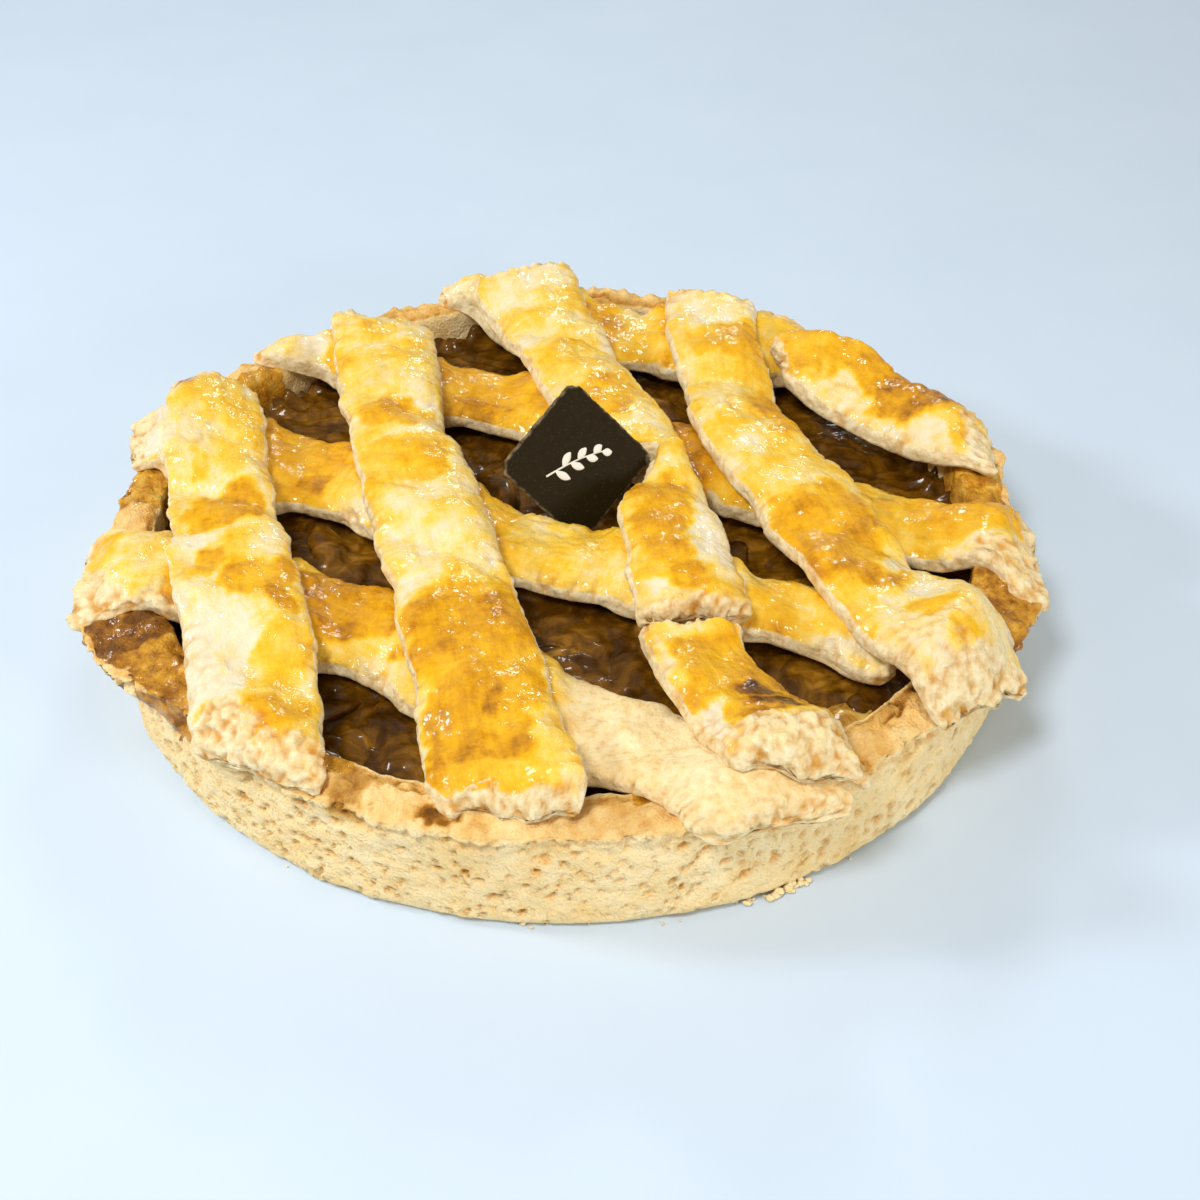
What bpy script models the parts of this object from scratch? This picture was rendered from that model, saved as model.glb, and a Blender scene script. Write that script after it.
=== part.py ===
"""Apple kuchen: a round shortcrust tart filled with apple, under a baked lattice of dough strips.

A small chocolate plaque stands in the lattice. Lengths are in millimetres until a mesh is made.
The origin is the middle of the underside, +Z is up and -Y is the front.
"""

import math

import bmesh
import bpy
from mathutils import Matrix, Vector, noise

METRES = 0.001

# Crust case: a floor and an upright wall with a rounded rim, as baked in a 24 cm tin
FOOT_RADIUS = 121.5
WALL_TOP = 25.5
FOOT_ROUNDING = 4.0
FLOOR_THICKNESS = 7.0
INNER_RADIUS = 110.0
TURN_STEPS = 88

# Rim: an arched top, highest along its crest, that leans in a little over the wall
RIM_RADIUS = 120.5
RIM_CREST_RADIUS = 114.5
RIM_HEIGHT = 32.5
RIM_RISE = 0.8
RIM_ARCH = 0.045
RIM_HALF_WIDTH = 6.0
RIM_EDGE_DROP = 1.2
RIM_SINK = 0.3

# Ragged lips where the dough has spilled over the wall: (direction, half span, overhang)
LIPS = [
    (math.radians(204), math.radians(20), 10.0),
    (math.radians(-20), math.radians(20), 6.5),
    (math.radians(15), math.radians(16), 5.5),
]

# Places where the rim swells up: (direction, half span, height)
SWELLS = [(math.radians(54), math.radians(9), 2.5), (math.radians(148), math.radians(6), 3.0)]

# Filling: apple compote, slightly mounded
FILLING_EDGE = 25.0
FILLING_MOUND = 4.0
FILLING_RINGS = 9
LUMP_SIZE = 17.0
LUMP_DEPTH = 3.5

# Lattice dough
CROSS_THICKNESS = 7.2
TOP_THICKNESS = 9.0
SECTION_POINTS = 12
SECTION_POWER = 0.5
STEPS_PER_KNOT = 4
THINNING = 0.13
NARROWING = 0.10
END_LENGTH = 15.0
END_THINNING = 0.45
CORNER_LENGTH = 6.0
CORNER_ROUNDING = 0.14
TEAR_STEP = 3.0
CRAG = 3.0
SLANT_REACH = 24.0
SAG_CLEARANCE = 3.0
SAG_END_RADIUS = 88.0
DRAPE_REACH = 22.0

# Clearances that keep the baked pieces separate solids
BED_GAP = 0.8
CROSS_GAP = 1.1
FIT_GAP = 0.3

# Chocolate plaque: a thin square standing on one corner
PLAQUE_SIDE = 31.2
PLAQUE_THICKNESS = 1.8
PLAQUE_EDGE_ROUNDING = 0.25
PLAQUE_CENTRE = (2.8, 1.1, 44.0)
PLAQUE_TURN = math.radians(22.8)
PLAQUE_LEAN = math.radians(27.9)
PLAQUE_ROLL = math.radians(45.0 - 8.1)

# Each strip's centre line as (x, y, width), and how far aslant its first and last end are cut.
# A broken end keeps its full thickness and corners. A tear in the left edge is (deepest y, where
# it ends in y, depth). The cross strips lie on the filling
CROSS_STRIPS = {
    "cross_strip_1": {
        "line": [
            (-43, 109, 9), (-30, 108, 12), (-12, 101, 24), (18, 91, 28), (46, 82, 26), (66, 79, 20),
            (80, 74, 13),
        ],
        "slants": (0.2, 0.3),
    },
    "cross_strip_2": {
        "line": [
            (-96, 71, 10), (-84, 73, 12), (-72, 74, 14), (-57, 68, 20), (-41, 60, 27),
            (-25, 54, 28), (8, 37, 28),
            (40, 17, 28), (73, 1, 28), (98, -11, 26), (107, -16, 27), (115, -22, 35), (124, -25, 35),
        ],
        "slants": (0.0, 0.3),
    },
    "cross_strip_3": {
        "line": [
            (-125, 30, 31), (-99, 25, 31), (-80, 18, 34), (-62, 9, 27), (-38, -4, 27),
            (-5, -23, 26), (28, -34, 26), (56, -46, 19), (84, -59, 23),
        ],
        "slants": (0.4, 0.0),
    },
    "cross_strip_4": {
        "line": [
            (-124.5, -33, 36), (-108, -34, 31), (-89, -37, 27), (-70, -42, 27), (-50, -53, 27),
            (-20, -71, 26), (8, -88, 27), (28, -101, 27), (49, -116, 28),
        ],
        "slants": (0.1, -0.95),
    },
}

# The top strips lie over the cross strips, and the third one has broken in two
TOP_STRIPS = {
    "top_strip_1": {
        "line": [
            (-103, 43, 27), (-97, 14, 28), (-90, -13, 28), (-83, -39, 31),
            (-75, -64, 32), (-71, -83, 31), (-67, -103, 30),
        ],
        "slants": (0.1, -0.8),
    },
    "top_strip_2": {
        "line": [
            (-59, 87, 33), (-56, 66, 31), (-51, 43, 30), (-47, 22, 28), (-40, -2, 30),
            (-33, -26, 30), (-26, -53, 31), (-20, -74, 32), (-16, -92, 33), (-10, -117, 34),
        ],
        "slants": (0.1, -0.3),
    },
    "top_strip_3_back": {
        "line": [
            (-16, 110, 36), (-10, 92, 31), (-2, 73, 30), (5, 51, 29), (13, 30, 28),
            (19, 14, 27), (24.5, -10, 25), (28.5, -27, 27), (30, -42, 29), (32, -57, 28),
        ],
        "slants": (0.0, -0.13),
        "broken_end": "last",
        "tear": (8.5, -14.0, 16.0),
    },
    "top_strip_3_front": {
        "line": [(30.5, -58.6, 24), (35, -74, 26), (43, -89, 29), (52.5, -110, 32)],
        "slants": (-0.3, -0.43),
        "broken_end": "first",
    },
    "top_strip_4": {
        "line": [
            (44, 98, 31), (44, 76, 28), (47, 56, 27), (48, 37, 28), (53, 17, 29),
            (61, 0, 30), (68, -18, 29), (76, -39, 28), (85, -56, 31), (100.5, -79, 35),
        ],
        "slants": (-0.4, 0.0),
    },
    "top_strip_5": {
        "line": [
            (62.5, 69, 16), (72, 63.5, 22), (84, 54, 25), (95, 43.5, 25), (105, 34, 26), (120, 20.5, 28),
        ],
        "slants": (0.8, 0.6),
    },
}


def clear_scene():
    for obj in list(bpy.data.objects):
        bpy.data.objects.remove(obj, do_unlink=True)


def make_material(name, colour, roughness):
    material = bpy.data.materials.new(name)
    material.use_nodes = True
    shader = material.node_tree.nodes["Principled BSDF"]
    shader.inputs["Base Color"].default_value = (*colour, 1.0)
    shader.inputs["Roughness"].default_value = roughness
    shader.inputs["Metallic"].default_value = 0.0
    return material


def add_object(name, mesh, collection, material=None):
    obj = bpy.data.objects.new(name, mesh)
    collection.objects.link(obj)
    if material:
        mesh.materials.append(material)
    return obj


def shade(mesh):
    mesh.shade_smooth()
    mesh.set_sharp_from_angle(angle=math.radians(50))


def unevenness(x, y, z, size, seed):
    """A smooth random value from 0 to 1 that changes over the given size."""
    value = noise.noise(Vector((x, y, z)) / size + Vector((seed, 3.7 * seed, 1.3)))
    return min(max(0.5 + 0.8 * value, 0.0), 1.0)


def soft_max(a, b, blend):
    """The larger of two heights, rounded where they cross."""
    overlap = max(blend - abs(a - b), 0.0) / blend
    return max(a, b) + overlap * overlap * blend / 4


def filling_top(radius):
    share = min(radius / INNER_RADIUS, 1.0)
    return FILLING_EDGE + FILLING_MOUND * (1 - share * share)


def humps(places, angle):
    """The sum of smooth humps at the given (direction, half span, size), in this direction."""
    total = 0.0
    for direction, half_span, size in places:
        turn = abs(math.remainder(angle - direction, 2 * math.pi)) / half_span
        total += size * (1 + math.cos(math.pi * min(turn, 1.0))) / 2
    return total


def rim_top(radius, angle):
    """The rim's arch, a little higher at the back, and its straight flanks past the half width."""
    offset = abs(radius - RIM_CREST_RADIUS)
    flank = max(offset - RIM_HALF_WIDTH, 0.0)
    crest = RIM_HEIGHT + RIM_RISE * math.sin(angle) + humps(SWELLS, angle)
    return crest - RIM_ARCH * (offset ** 2 - flank ** 2)


def bed(x, y):
    """Height of what the lattice lies on: the filling and the rim round it."""
    radius = math.hypot(x, y)
    return soft_max(filling_top(radius), rim_top(radius, math.atan2(y, x)), blend=4.0)


def arc(centre, radius, start, end, steps):
    """Points (radius, height) along a circular arc, from one angle in degrees to another."""
    angles = [math.radians(start + (end - start) * step / steps) for step in range(steps + 1)]
    return [(centre[0] + radius * math.cos(a), centre[1] + radius * math.sin(a)) for a in angles]


def turned_mesh(name, profile, steps):
    """The (radius, height) profile, turned about the Z axis."""
    mesh = bpy.data.meshes.new(name + "_profile")
    points = [(radius * METRES, 0.0, height * METRES) for radius, height in profile]
    mesh.from_pydata(points, [(i, i + 1) for i in range(len(points) - 1)], [])
    source = add_object(name + "_profile", mesh, bpy.context.scene.collection)
    screw = source.modifiers.new("turn", "SCREW")
    screw.steps = screw.render_steps = steps
    screw.use_merge_vertices = True
    screw.merge_threshold = 0.00001
    graph = bpy.context.evaluated_depsgraph_get()
    turned = bpy.data.meshes.new_from_object(source.evaluated_get(graph))
    turned.name = name
    bpy.data.objects.remove(source, do_unlink=True)
    return turned


def reshape(mesh, move):
    """Moves each vertex from (x, y, z) to move(x, y, z), both in millimetres."""
    for vertex in mesh.vertices:
        vertex.co = Vector(move(*(vertex.co / METRES))) * METRES
    mesh.update()


def case_point(x, y, z):
    """The turned case made uneven: the wall bulges in and out and the rim rises, dips and overhangs."""
    radius, angle = math.hypot(x, y), math.atan2(y, x)
    if radius < INNER_RADIUS + 0.1 and z < WALL_TOP or z < 0.5:
        return x, y, z
    lip_share = min(max((z - 0.6 * WALL_TOP) / (0.4 * WALL_TOP), 0.0), 1.0)
    beyond_crest = max(radius - RIM_CREST_RADIUS, 0.0) / (RIM_RADIUS - RIM_CREST_RADIUS)
    moved = radius + humps(LIPS, angle) * lip_share * min(beyond_crest, 1.0)
    if z > WALL_TOP:
        to_edge = min(radius - INNER_RADIUS, RIM_RADIUS - radius)
        z = rim_top(moved, angle) - RIM_SINK - 1.1 * unevenness(x, y, 0.0, 14.0, seed=1)
        z -= RIM_EDGE_DROP * max(1 - to_edge, 0.0)
    if radius > RIM_CREST_RADIUS:
        moved -= 1.4 * unevenness(x, y, z, 26.0, seed=2) + 0.7 * unevenness(x, y, z, 9.0, seed=3)
    return x * moved / radius, y * moved / radius, z


def make_crust_case(collection, material):
    rim_radii = [INNER_RADIUS, 111.3, 113.0, RIM_CREST_RADIUS, 116.5, 118.7, RIM_RADIUS]
    lean = (FOOT_RADIUS - RIM_RADIUS) / WALL_TOP
    wall = [(FOOT_RADIUS - lean * z, z) for z in (WALL_TOP - 0.5, 19.0, 12.0, FOOT_ROUNDING)]
    foot_centre = (wall[-1][0] - FOOT_ROUNDING, FOOT_ROUNDING)
    profile = [
        (0.0, FLOOR_THICKNESS),
        (INNER_RADIUS, FLOOR_THICKNESS),
        *[(radius, rim_top(radius, 0.0)) for radius in rim_radii],
        *wall[:-1],
        *arc(foot_centre, FOOT_ROUNDING, 0, -90, 3),
        (0.0, 0.0),
    ]
    mesh = turned_mesh("crust_case", profile, TURN_STEPS)
    reshape(mesh, case_point)
    shade(mesh)
    return add_object("crust_case", mesh, collection, material)


def filling_point(x, y, z):
    """Sinks the filling's top between its lumps of apple, and leaves its sides and bottom."""
    if z < FILLING_EDGE - 0.5:
        return x, y, z
    distances, _ = noise.voronoi(Vector((x, y, 0.0)) / LUMP_SIZE)
    return x, y, z - LUMP_DEPTH * min(distances[0] * 1.2, 1.0)


def make_filling(collection, material):
    radius = INNER_RADIUS - FIT_GAP
    radii = [radius * math.sqrt(ring / FILLING_RINGS) for ring in range(FILLING_RINGS + 1)]
    bottom = FLOOR_THICKNESS + FIT_GAP
    profile = [*[(r, filling_top(r)) for r in radii], (radius, bottom), (0.0, bottom)]
    mesh = turned_mesh("apple_filling", profile, TURN_STEPS)
    reshape(mesh, filling_point)
    shade(mesh)
    return add_object("apple_filling", mesh, collection, material)


def smooth_route(knots):
    """Evenly timed points on a Catmull-Rom curve through the knots, each (x, y, width)."""
    knots = [Vector(knot) for knot in knots]
    knots = [2 * knots[0] - knots[1], *knots, 2 * knots[-1] - knots[-2]]
    route = []
    for before, start, end, after in zip(knots, knots[1:], knots[2:], knots[3:]):
        for step in range(STEPS_PER_KNOT):
            t = step / STEPS_PER_KNOT
            route.append(0.5 * (
                2 * start
                + (end - before) * t
                + (2 * before - 5 * start + 4 * end - after) * t ** 2
                + (3 * start - before - 3 * end + after) * t ** 3
            ))
    route.append(knots[-2])
    return route


def distance_from(x, y, route):
    """Distance across from a route to a point, less half the route's width there."""
    nearest = math.inf
    point = Vector((x, y))
    for start, end in zip(route, route[1:]):
        along = (end - start).to_2d()
        share = (point - start.to_2d()).dot(along) / along.length_squared
        share = min(max(share, 0.0), 1.0)
        here = start.lerp(end, share)
        nearest = min(nearest, (point - here.to_2d()).length - here.z / 2)
    return nearest


def cross_bed(x, y):
    return bed(x, y) + BED_GAP


def make_top_bed(cross_routes):
    """The height that a top strip's underside keeps: over the cross strips, sagging between them."""

    def top_bed(x, y):
        nearest = min(distance_from(x, y, route) for route in cross_routes)
        past = min(max(nearest / DRAPE_REACH, 0.0), 1.0)
        drape = (1 + math.cos(math.pi * past)) / 2
        past_filling = (math.hypot(x, y) - SAG_END_RADIUS) / (RIM_CREST_RADIUS - SAG_END_RADIUS)
        sag = SAG_CLEARANCE * (1 - min(max(past_filling, 0.0), 1.0))
        return bed(x, y) + BED_GAP + sag + (CROSS_THICKNESS + CROSS_GAP - sag) * drape

    return top_bed


def make_section():
    """A squarish rounded section as (across, up): across runs from -1 to 1 and up from 0 to 1."""
    section = []
    for point in range(SECTION_POINTS):
        angle = 2 * math.pi * point / SECTION_POINTS
        across, up = math.cos(angle), math.sin(angle)
        across = math.copysign(abs(across) ** SECTION_POWER, across)
        up = math.copysign(abs(up) ** SECTION_POWER, up)
        section.append((across, (1 + up) / 2))
    return section


def tear_depth(strip, y):
    """How far in the strip's left edge is torn, where its centre line is at this y."""
    if "tear" not in strip:
        return 0.0
    deepest, end, depth = strip["tear"]
    share = min((y - end) / (deepest - end), (deepest + TEAR_STEP - y) / TEAR_STEP)
    return depth * max(share, 0.0)


def strip_rings(strip, thickness, underside, seed):
    """One ring of points for each step along a strip of dough that lies on its underside height."""
    route = smooth_route(strip["line"])
    lengths = [(b - a).to_2d().length for a, b in zip(route, route[1:])]
    rings = []
    for index, here in enumerate(route):
        before, after = route[max(index - 1, 0)], route[min(index + 1, len(route) - 1)]
        along = (after - before).to_2d().normalized()
        across_direction = Vector((along.y, -along.x))
        from_start, to_end = sum(lengths[:index]), sum(lengths[index:])
        first, last = (max(1 - d / SLANT_REACH, 0.0) for d in (from_start, to_end))
        slant = strip["slants"][0] * first + strip["slants"][1] * last
        ends = {"first": from_start, "last": to_end}
        to_cut_end = min(distance for end, distance in ends.items() if end != strip.get("broken_end"))
        thinned = 1 - END_THINNING * max(1 - to_cut_end / END_LENGTH, 0.0) ** 2
        rounded = 1 - CORNER_ROUNDING * max(1 - to_cut_end / CORNER_LENGTH, 0.0) ** 2
        crag_way = {0: 1, len(route) - 1: -1}.get(index, 0)
        torn = tear_depth(strip, here.y)
        ring = []
        for across, up in make_section():
            width = here.z / 2 * rounded
            edge = math.copysign(40.0, across)
            width *= 1 - NARROWING * unevenness(here.x, here.y, edge, 11.0, seed)
            aside = across * (width - torn / 2) - torn / 2
            point = here.to_2d() + across_direction * aside
            crag = CRAG * unevenness(point.x, point.y, 20.0 * up, 6.0, seed + 5)
            point += along * (slant * across * width + crag_way * crag)
            height = thickness * thinned
            height *= 1 - THINNING * unevenness(point.x, point.y, 0.0, 12.0, seed + 9)
            ring.append(Vector((point.x, point.y, underside(point.x, point.y) + up * height)))
        rings.append(ring)
    return rings


def loft(name, rings):
    """A closed skin over a row of rings of points, with a cap at each end."""
    sheet = bmesh.new()
    rows = [[sheet.verts.new(point * METRES) for point in ring] for ring in rings]
    count = len(rows[0])
    for row, following in zip(rows, rows[1:]):
        for i in range(count):
            j = (i + 1) % count
            sheet.faces.new((row[i], row[j], following[j], following[i]))
    sheet.faces.new(rows[0])
    sheet.faces.new(reversed(rows[-1]))
    bmesh.ops.recalc_face_normals(sheet, faces=sheet.faces)
    bmesh.ops.triangulate(sheet, faces=sheet.faces)
    mesh = bpy.data.meshes.new(name)
    sheet.to_mesh(mesh)
    sheet.free()
    shade(mesh)
    return mesh


def make_strips(strips, thickness, underside, collection, material):
    made = {}
    for seed, (name, strip) in enumerate(strips.items(), start=11):
        rings = strip_rings(strip, thickness, underside, seed)
        made[name] = add_object(name, loft(name, rings), collection, material)
    return made


def add_plaque_block(name, extra, collection):
    """A square block in the plaque's place, larger all round by the extra."""
    bpy.ops.mesh.primitive_cube_add(size=1.0)
    block = bpy.context.active_object
    block.name = block.data.name = name
    side = (PLAQUE_SIDE + 2 * extra) * METRES
    depth = (PLAQUE_THICKNESS + 2 * extra) * METRES
    block.data.transform(Matrix.Diagonal((side, depth, side, 1.0)))
    for holder in list(block.users_collection):
        holder.objects.unlink(block)
    collection.objects.link(block)
    turn = Matrix.Rotation(PLAQUE_TURN, 3, "Z")
    lean = Matrix.Rotation(-PLAQUE_LEAN, 3, "X")
    roll = Matrix.Rotation(-PLAQUE_ROLL, 3, "Y")
    block.location = Vector(PLAQUE_CENTRE) * METRES
    block.rotation_euler = (turn @ lean @ roll).to_euler()
    return block


def make_plaque(collection, material):
    plaque = add_plaque_block("chocolate_plaque", 0.0, collection)
    plaque.data.materials.append(material)
    rounding = plaque.modifiers.new("rounded edges", "BEVEL")
    rounding.width = PLAQUE_EDGE_ROUNDING * METRES
    rounding.segments = 1
    return plaque


def make_plaque_slot(collection):
    """The space that the plaque's lower corner is pressed into."""
    slot = add_plaque_block("plaque_slot", FIT_GAP, collection)
    slot.hide_render = True
    slot.display_type = "WIRE"
    return slot


def cut(obj, cutter):
    modifier = obj.modifiers.new("plaque slot", "BOOLEAN")
    modifier.operation = "DIFFERENCE"
    modifier.object = cutter


def main():
    clear_scene()
    collection = bpy.data.collections.new("apple_kuchen")
    cutters = bpy.data.collections.new("cutters")
    bpy.context.scene.collection.children.link(collection)
    bpy.context.scene.collection.children.link(cutters)

    wall_crust = make_material("baked wall crust", (0.70, 0.48, 0.24), 0.8)
    filling_apple = make_material("apple compote", (0.16, 0.06, 0.015), 0.25)
    cross_crust = make_material("cross strip crust", (0.78, 0.46, 0.12), 0.45)
    top_crust = make_material("top strip crust", (0.85, 0.55, 0.18), 0.4)
    chocolate = make_material("dark chocolate", (0.035, 0.022, 0.012), 0.3)

    case = make_crust_case(collection, wall_crust)
    filling = make_filling(collection, filling_apple)
    cross = make_strips(CROSS_STRIPS, CROSS_THICKNESS, cross_bed, collection, cross_crust)
    top_bed = make_top_bed([smooth_route(strip["line"]) for strip in CROSS_STRIPS.values()])
    top = make_strips(TOP_STRIPS, TOP_THICKNESS, top_bed, collection, top_crust)
    plaque = make_plaque(collection, chocolate)

    slot = make_plaque_slot(cutters)
    cut(filling, slot)
    cut(top["top_strip_3_back"], slot)

    whole = bpy.data.objects.new("kuchen", None)
    collection.objects.link(whole)
    for obj in (case, filling, *cross.values(), *top.values(), plaque):
        obj.parent = whole


main()
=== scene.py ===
"""Looks of the apple kuchen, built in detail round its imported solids.

Lengths are in millimetres until a mesh is made. The origin is the middle of the underside,
+Z is up and -Y is the front. Random draws are seeded.
"""

import math
from itertools import product
from types import SimpleNamespace

import bpy
import numpy as np
from mathutils import Euler, Matrix, Vector

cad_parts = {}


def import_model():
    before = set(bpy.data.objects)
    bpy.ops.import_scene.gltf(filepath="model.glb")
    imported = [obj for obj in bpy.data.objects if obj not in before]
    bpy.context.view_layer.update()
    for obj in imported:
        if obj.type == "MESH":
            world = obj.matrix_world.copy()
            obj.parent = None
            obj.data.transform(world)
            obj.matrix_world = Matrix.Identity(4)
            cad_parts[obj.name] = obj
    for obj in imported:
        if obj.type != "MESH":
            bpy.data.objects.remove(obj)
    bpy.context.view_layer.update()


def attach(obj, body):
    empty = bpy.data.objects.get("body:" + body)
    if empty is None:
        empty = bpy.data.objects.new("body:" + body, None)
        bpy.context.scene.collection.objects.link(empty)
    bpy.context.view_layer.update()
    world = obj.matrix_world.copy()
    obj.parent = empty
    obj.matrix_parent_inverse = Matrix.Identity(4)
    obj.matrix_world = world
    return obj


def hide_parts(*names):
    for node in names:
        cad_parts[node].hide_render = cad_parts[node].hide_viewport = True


METRES = 0.001
FULL_TURN = 2 * math.pi

# Crust case and filling: the sizes of the solids, and how finely both are built here
FOOT_RADIUS = 121.5
WALL_TOP = 25.5
FOOT_ROUNDING = 4.0
INNER_RADIUS = 110.0
RIM_RADIUS = 120.5
RIM_CREST_RADIUS = 114.5
RIM_HEIGHT = 32.5
RIM_RISE = 0.8
RIM_ARCH = 0.045
RIM_HALF_WIDTH = 6.0
LIPS = [
    (math.radians(204), math.radians(20), 10.0),
    (math.radians(-20), math.radians(20), 6.5),
    (math.radians(15), math.radians(16), 5.5),
]
SWELLS = [(math.radians(54), math.radians(9), 2.5), (math.radians(148), math.radians(6), 3.0)]
FILLING_EDGE = 25.0
FILLING_MOUND = 4.0
FILLING_BOTTOM = 8.5
BED_BLEND = 4.0
CASE_STEPS = 900
FILLING_STEPS = 210

# Lattice dough
CROSS_THICKNESS = 7.2
TOP_THICKNESS = 9.0
SECTION_STEPS = 88
SECTION_HALF_WIDTH = 15.0
SECTION_SHOULDER = 0.42
SECTION_ROUNDNESS = 0.86
UNDER_ROUNDNESS = (0.45, 0.42)
ROW_SPACING = 0.7
ROUTE_SPACING = 6.0
FINE_SPACING = 0.5
EDGE_WAVE = 0.06
END_MIDDLE = 0.45
END_ROUNDING = 1.8
END_LENGTH = 15.0
END_THINNING = 0.45
CORNER_LENGTH = 6.0
CORNER_ROUNDING = 0.14
TEAR_STEP = 3.0
SLANT_REACH = 24.0
SAG_CLEARANCE = 3.0
SAG_END_RADIUS = 88.0
DRAPE_REACH = 22.0
CROSS_GAP = 1.1
SINK = 0.9
WEB_REACH = 8.0
WEB_SPREAD = 0.22
WEB_LIFT = 1.8
RAGGED_END = 1.8

# Relief of the dough and of the case as (depth, size, seed), and the depths of their finer marks
STRIP_LUMPS = [(1.2, 15.0, 70), (0.8, 8.0, 71), (0.40, 3.6, 72), (0.20, 1.9, 74)]
NOTCH_DEPTH = 0.75
CREASE_DEPTH = 0.4
BRUSH_DEPTH = 0.10
STRIP_PIT_DEPTH = 0.6
CRUMB_DEPTHS = (1.9, 1.2)
PATCH_WARP = 4.5
CASE_LUMPS = [(0.7, 24.0, 7), (0.5, 9.0, 8)]
WALL_PIT_DEPTH = 1.9
SMALL_PIT_DEPTH = 1.2
RIM_LUMP_DEPTH = 1.7
RIM_CRUMB_DEPTH = 1.4
RIM_CRACK_DEPTH = 0.9

# Chocolate plaque
PLAQUE_SIDE = 31.2
PLAQUE_THICKNESS = 1.8
PLAQUE_WORN_EDGE = 0.45
PLAQUE_CENTRE = (2.8, 1.1, 44.0)
PLAQUE_TURN = math.radians(22.8)
PLAQUE_LEAN = math.radians(27.9)
PLAQUE_ROLL = math.radians(45.0 - 8.1)
SPRIG_TILT = math.radians(-8)
SPRIG_LENGTH = 19.0
SPRIG_LEAVES = 7
LEAF_LENGTH = 5.4
LEAF_SPACING = 2.35
LEAF_ANGLE = 52

# Loose crumbs: a heap at the front right, its direction in degrees, and single ones all round
HEAPED_CRUMBS = 26
HEAP_DIRECTION = -65
SINGLE_CRUMBS = 30

# Apple slices that show in the gaps, as (x, y, heading, length, width, thickness, how far raised)
SHOWN_SLICES = [
    (67, -80, 66, 24, 11, 9, 1.6), (76, -70, 50, 22, 12, 9, 0.2),
    (-104, -56, 100, 22, 17, 9, 3.0), (-63, -13, 120, 24, 12, 10, -1.8),
]

# The other slices: how many, their usual size, how far out they may lie and how far apart
HIDDEN_SLICES = 34
SLICE_SIZE = np.array([27.0, 15.0, 11.0])
SLICE_REACH = 103
SLICE_SPACING = 12

# Each strip has its centre line as (x, y, width), how far aslant its first and last end are cut, how
# baked it is and its patches as (left, right, front, back, how baked). Some also have crumbly boxes
# of the same form, a matte box without a level, bites as (x, y, reach, share of the width), swells
# as (x, y, reach, height), an end that is broken, how ragged the ends are, or a tear as (y of its
# deepest place, y of its end, depth).
CROSS_STRIPS = {
    "cross_strip_1": {
        "line": [
            (-43, 109, 9), (-30, 108, 12), (-12, 101, 24), (18, 91, 28), (46, 82, 26), (66, 79, 20),
            (80, 74, 13),
        ],
        "slants": (0.2, 0.3),
        "baked": 0.42,
        "patches": [(-46, -30, 92, 114, 0.05), (7, 14, 72, 112, 0.72), (27, 33, 80, 110, 0.72)],
    },
    "cross_strip_2": {
        "line": [
            (-96, 71, 10), (-84, 73, 12), (-72, 74, 14), (-57, 68, 20), (-41, 60, 27),
            (-25, 54, 28), (8, 37, 28),
            (40, 17, 28), (73, 1, 28), (98, -11, 26), (107, -16, 27), (115, -22, 35), (124, -25, 35),
        ],
        "slants": (0.0, 0.3),
        "baked": 0.48,
        "patches": [
            (-102, -74, 62, 92, 0.06), (-42, -10, 40, 92, 0.68), (-32, -20, 38, 50, 0.82),
            (25, 43, 4, 62, 0.94), (78, 88, -20, 8, 0.5), (92, 112, -17, 2, 0.62),
            (112, 128, -20, 0, 0.6), (94, 130, -48, -20, 0.16),
        ],
        "ragged": 2.2,
        "bites": [(103, -33, 9, 0.35)],
        "crumbly": [(96, 130, -50, -24, 0.8), (119, 130, -50, 0, 0.9)],
    },
    "cross_strip_3": {
        "line": [
            (-125, 30, 31), (-99, 25, 31), (-80, 18, 34), (-62, 9, 27), (-38, -4, 27),
            (-5, -23, 26), (28, -34, 26), (56, -46, 19), (84, -59, 23),
        ],
        "slants": (0.4, 0.0),
        "swells": [(-5, -9.5, 9, 2.6), (4, -13, 8, 2.4)],
        "ragged": 2.2,
        "crumbly": [(-132, -118, 10, 50, 0.8)],
        "baked": 0.34,
        "patches": [
            (-130, -110, 12, 42, 0.04), (-86, -60, 0, 56, 0.72), (-72, -65, 1, 8, 0.98),
            (-36, -12, -32, 6, 0.62), (46, 72, -52, -40, 0.42), (56, 82, -76, -58, 0.1),
        ],
    },
    "cross_strip_4": {
        "line": [
            (-124.5, -33, 36), (-108, -34, 31), (-89, -37, 27), (-70, -42, 27), (-50, -53, 27),
            (-20, -71, 26), (8, -88, 27), (28, -101, 27), (49, -116, 28),
        ],
        "slants": (0.1, -0.95),
        "baked": 0.32,
        "patches": [
            (-126, -98, -52, -14, 0.2), (-124, -114, -34, -22, 0.5), (-66, -38, -60, -30, 0.85),
            (-54, -50, -59, -54, 1.0),
            (-43, -37, -53, -48, 0.98), (-39, -33, -67, -62, 0.95), (2, 40, -120, -60, 0.02),
            (-4, 6, -94, -84, 0.5), (10, 22, -112, -100, 0.55),
        ],
        "matte": (0, 75, -125, -58),
        "ragged": 2.2,
        "crumbly": [(-132, -113, -62, -34, 0.9), (-116, -94, -62, -45, 0.8), (44, 70, -122, -96, 0.3)],
    },
}
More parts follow.
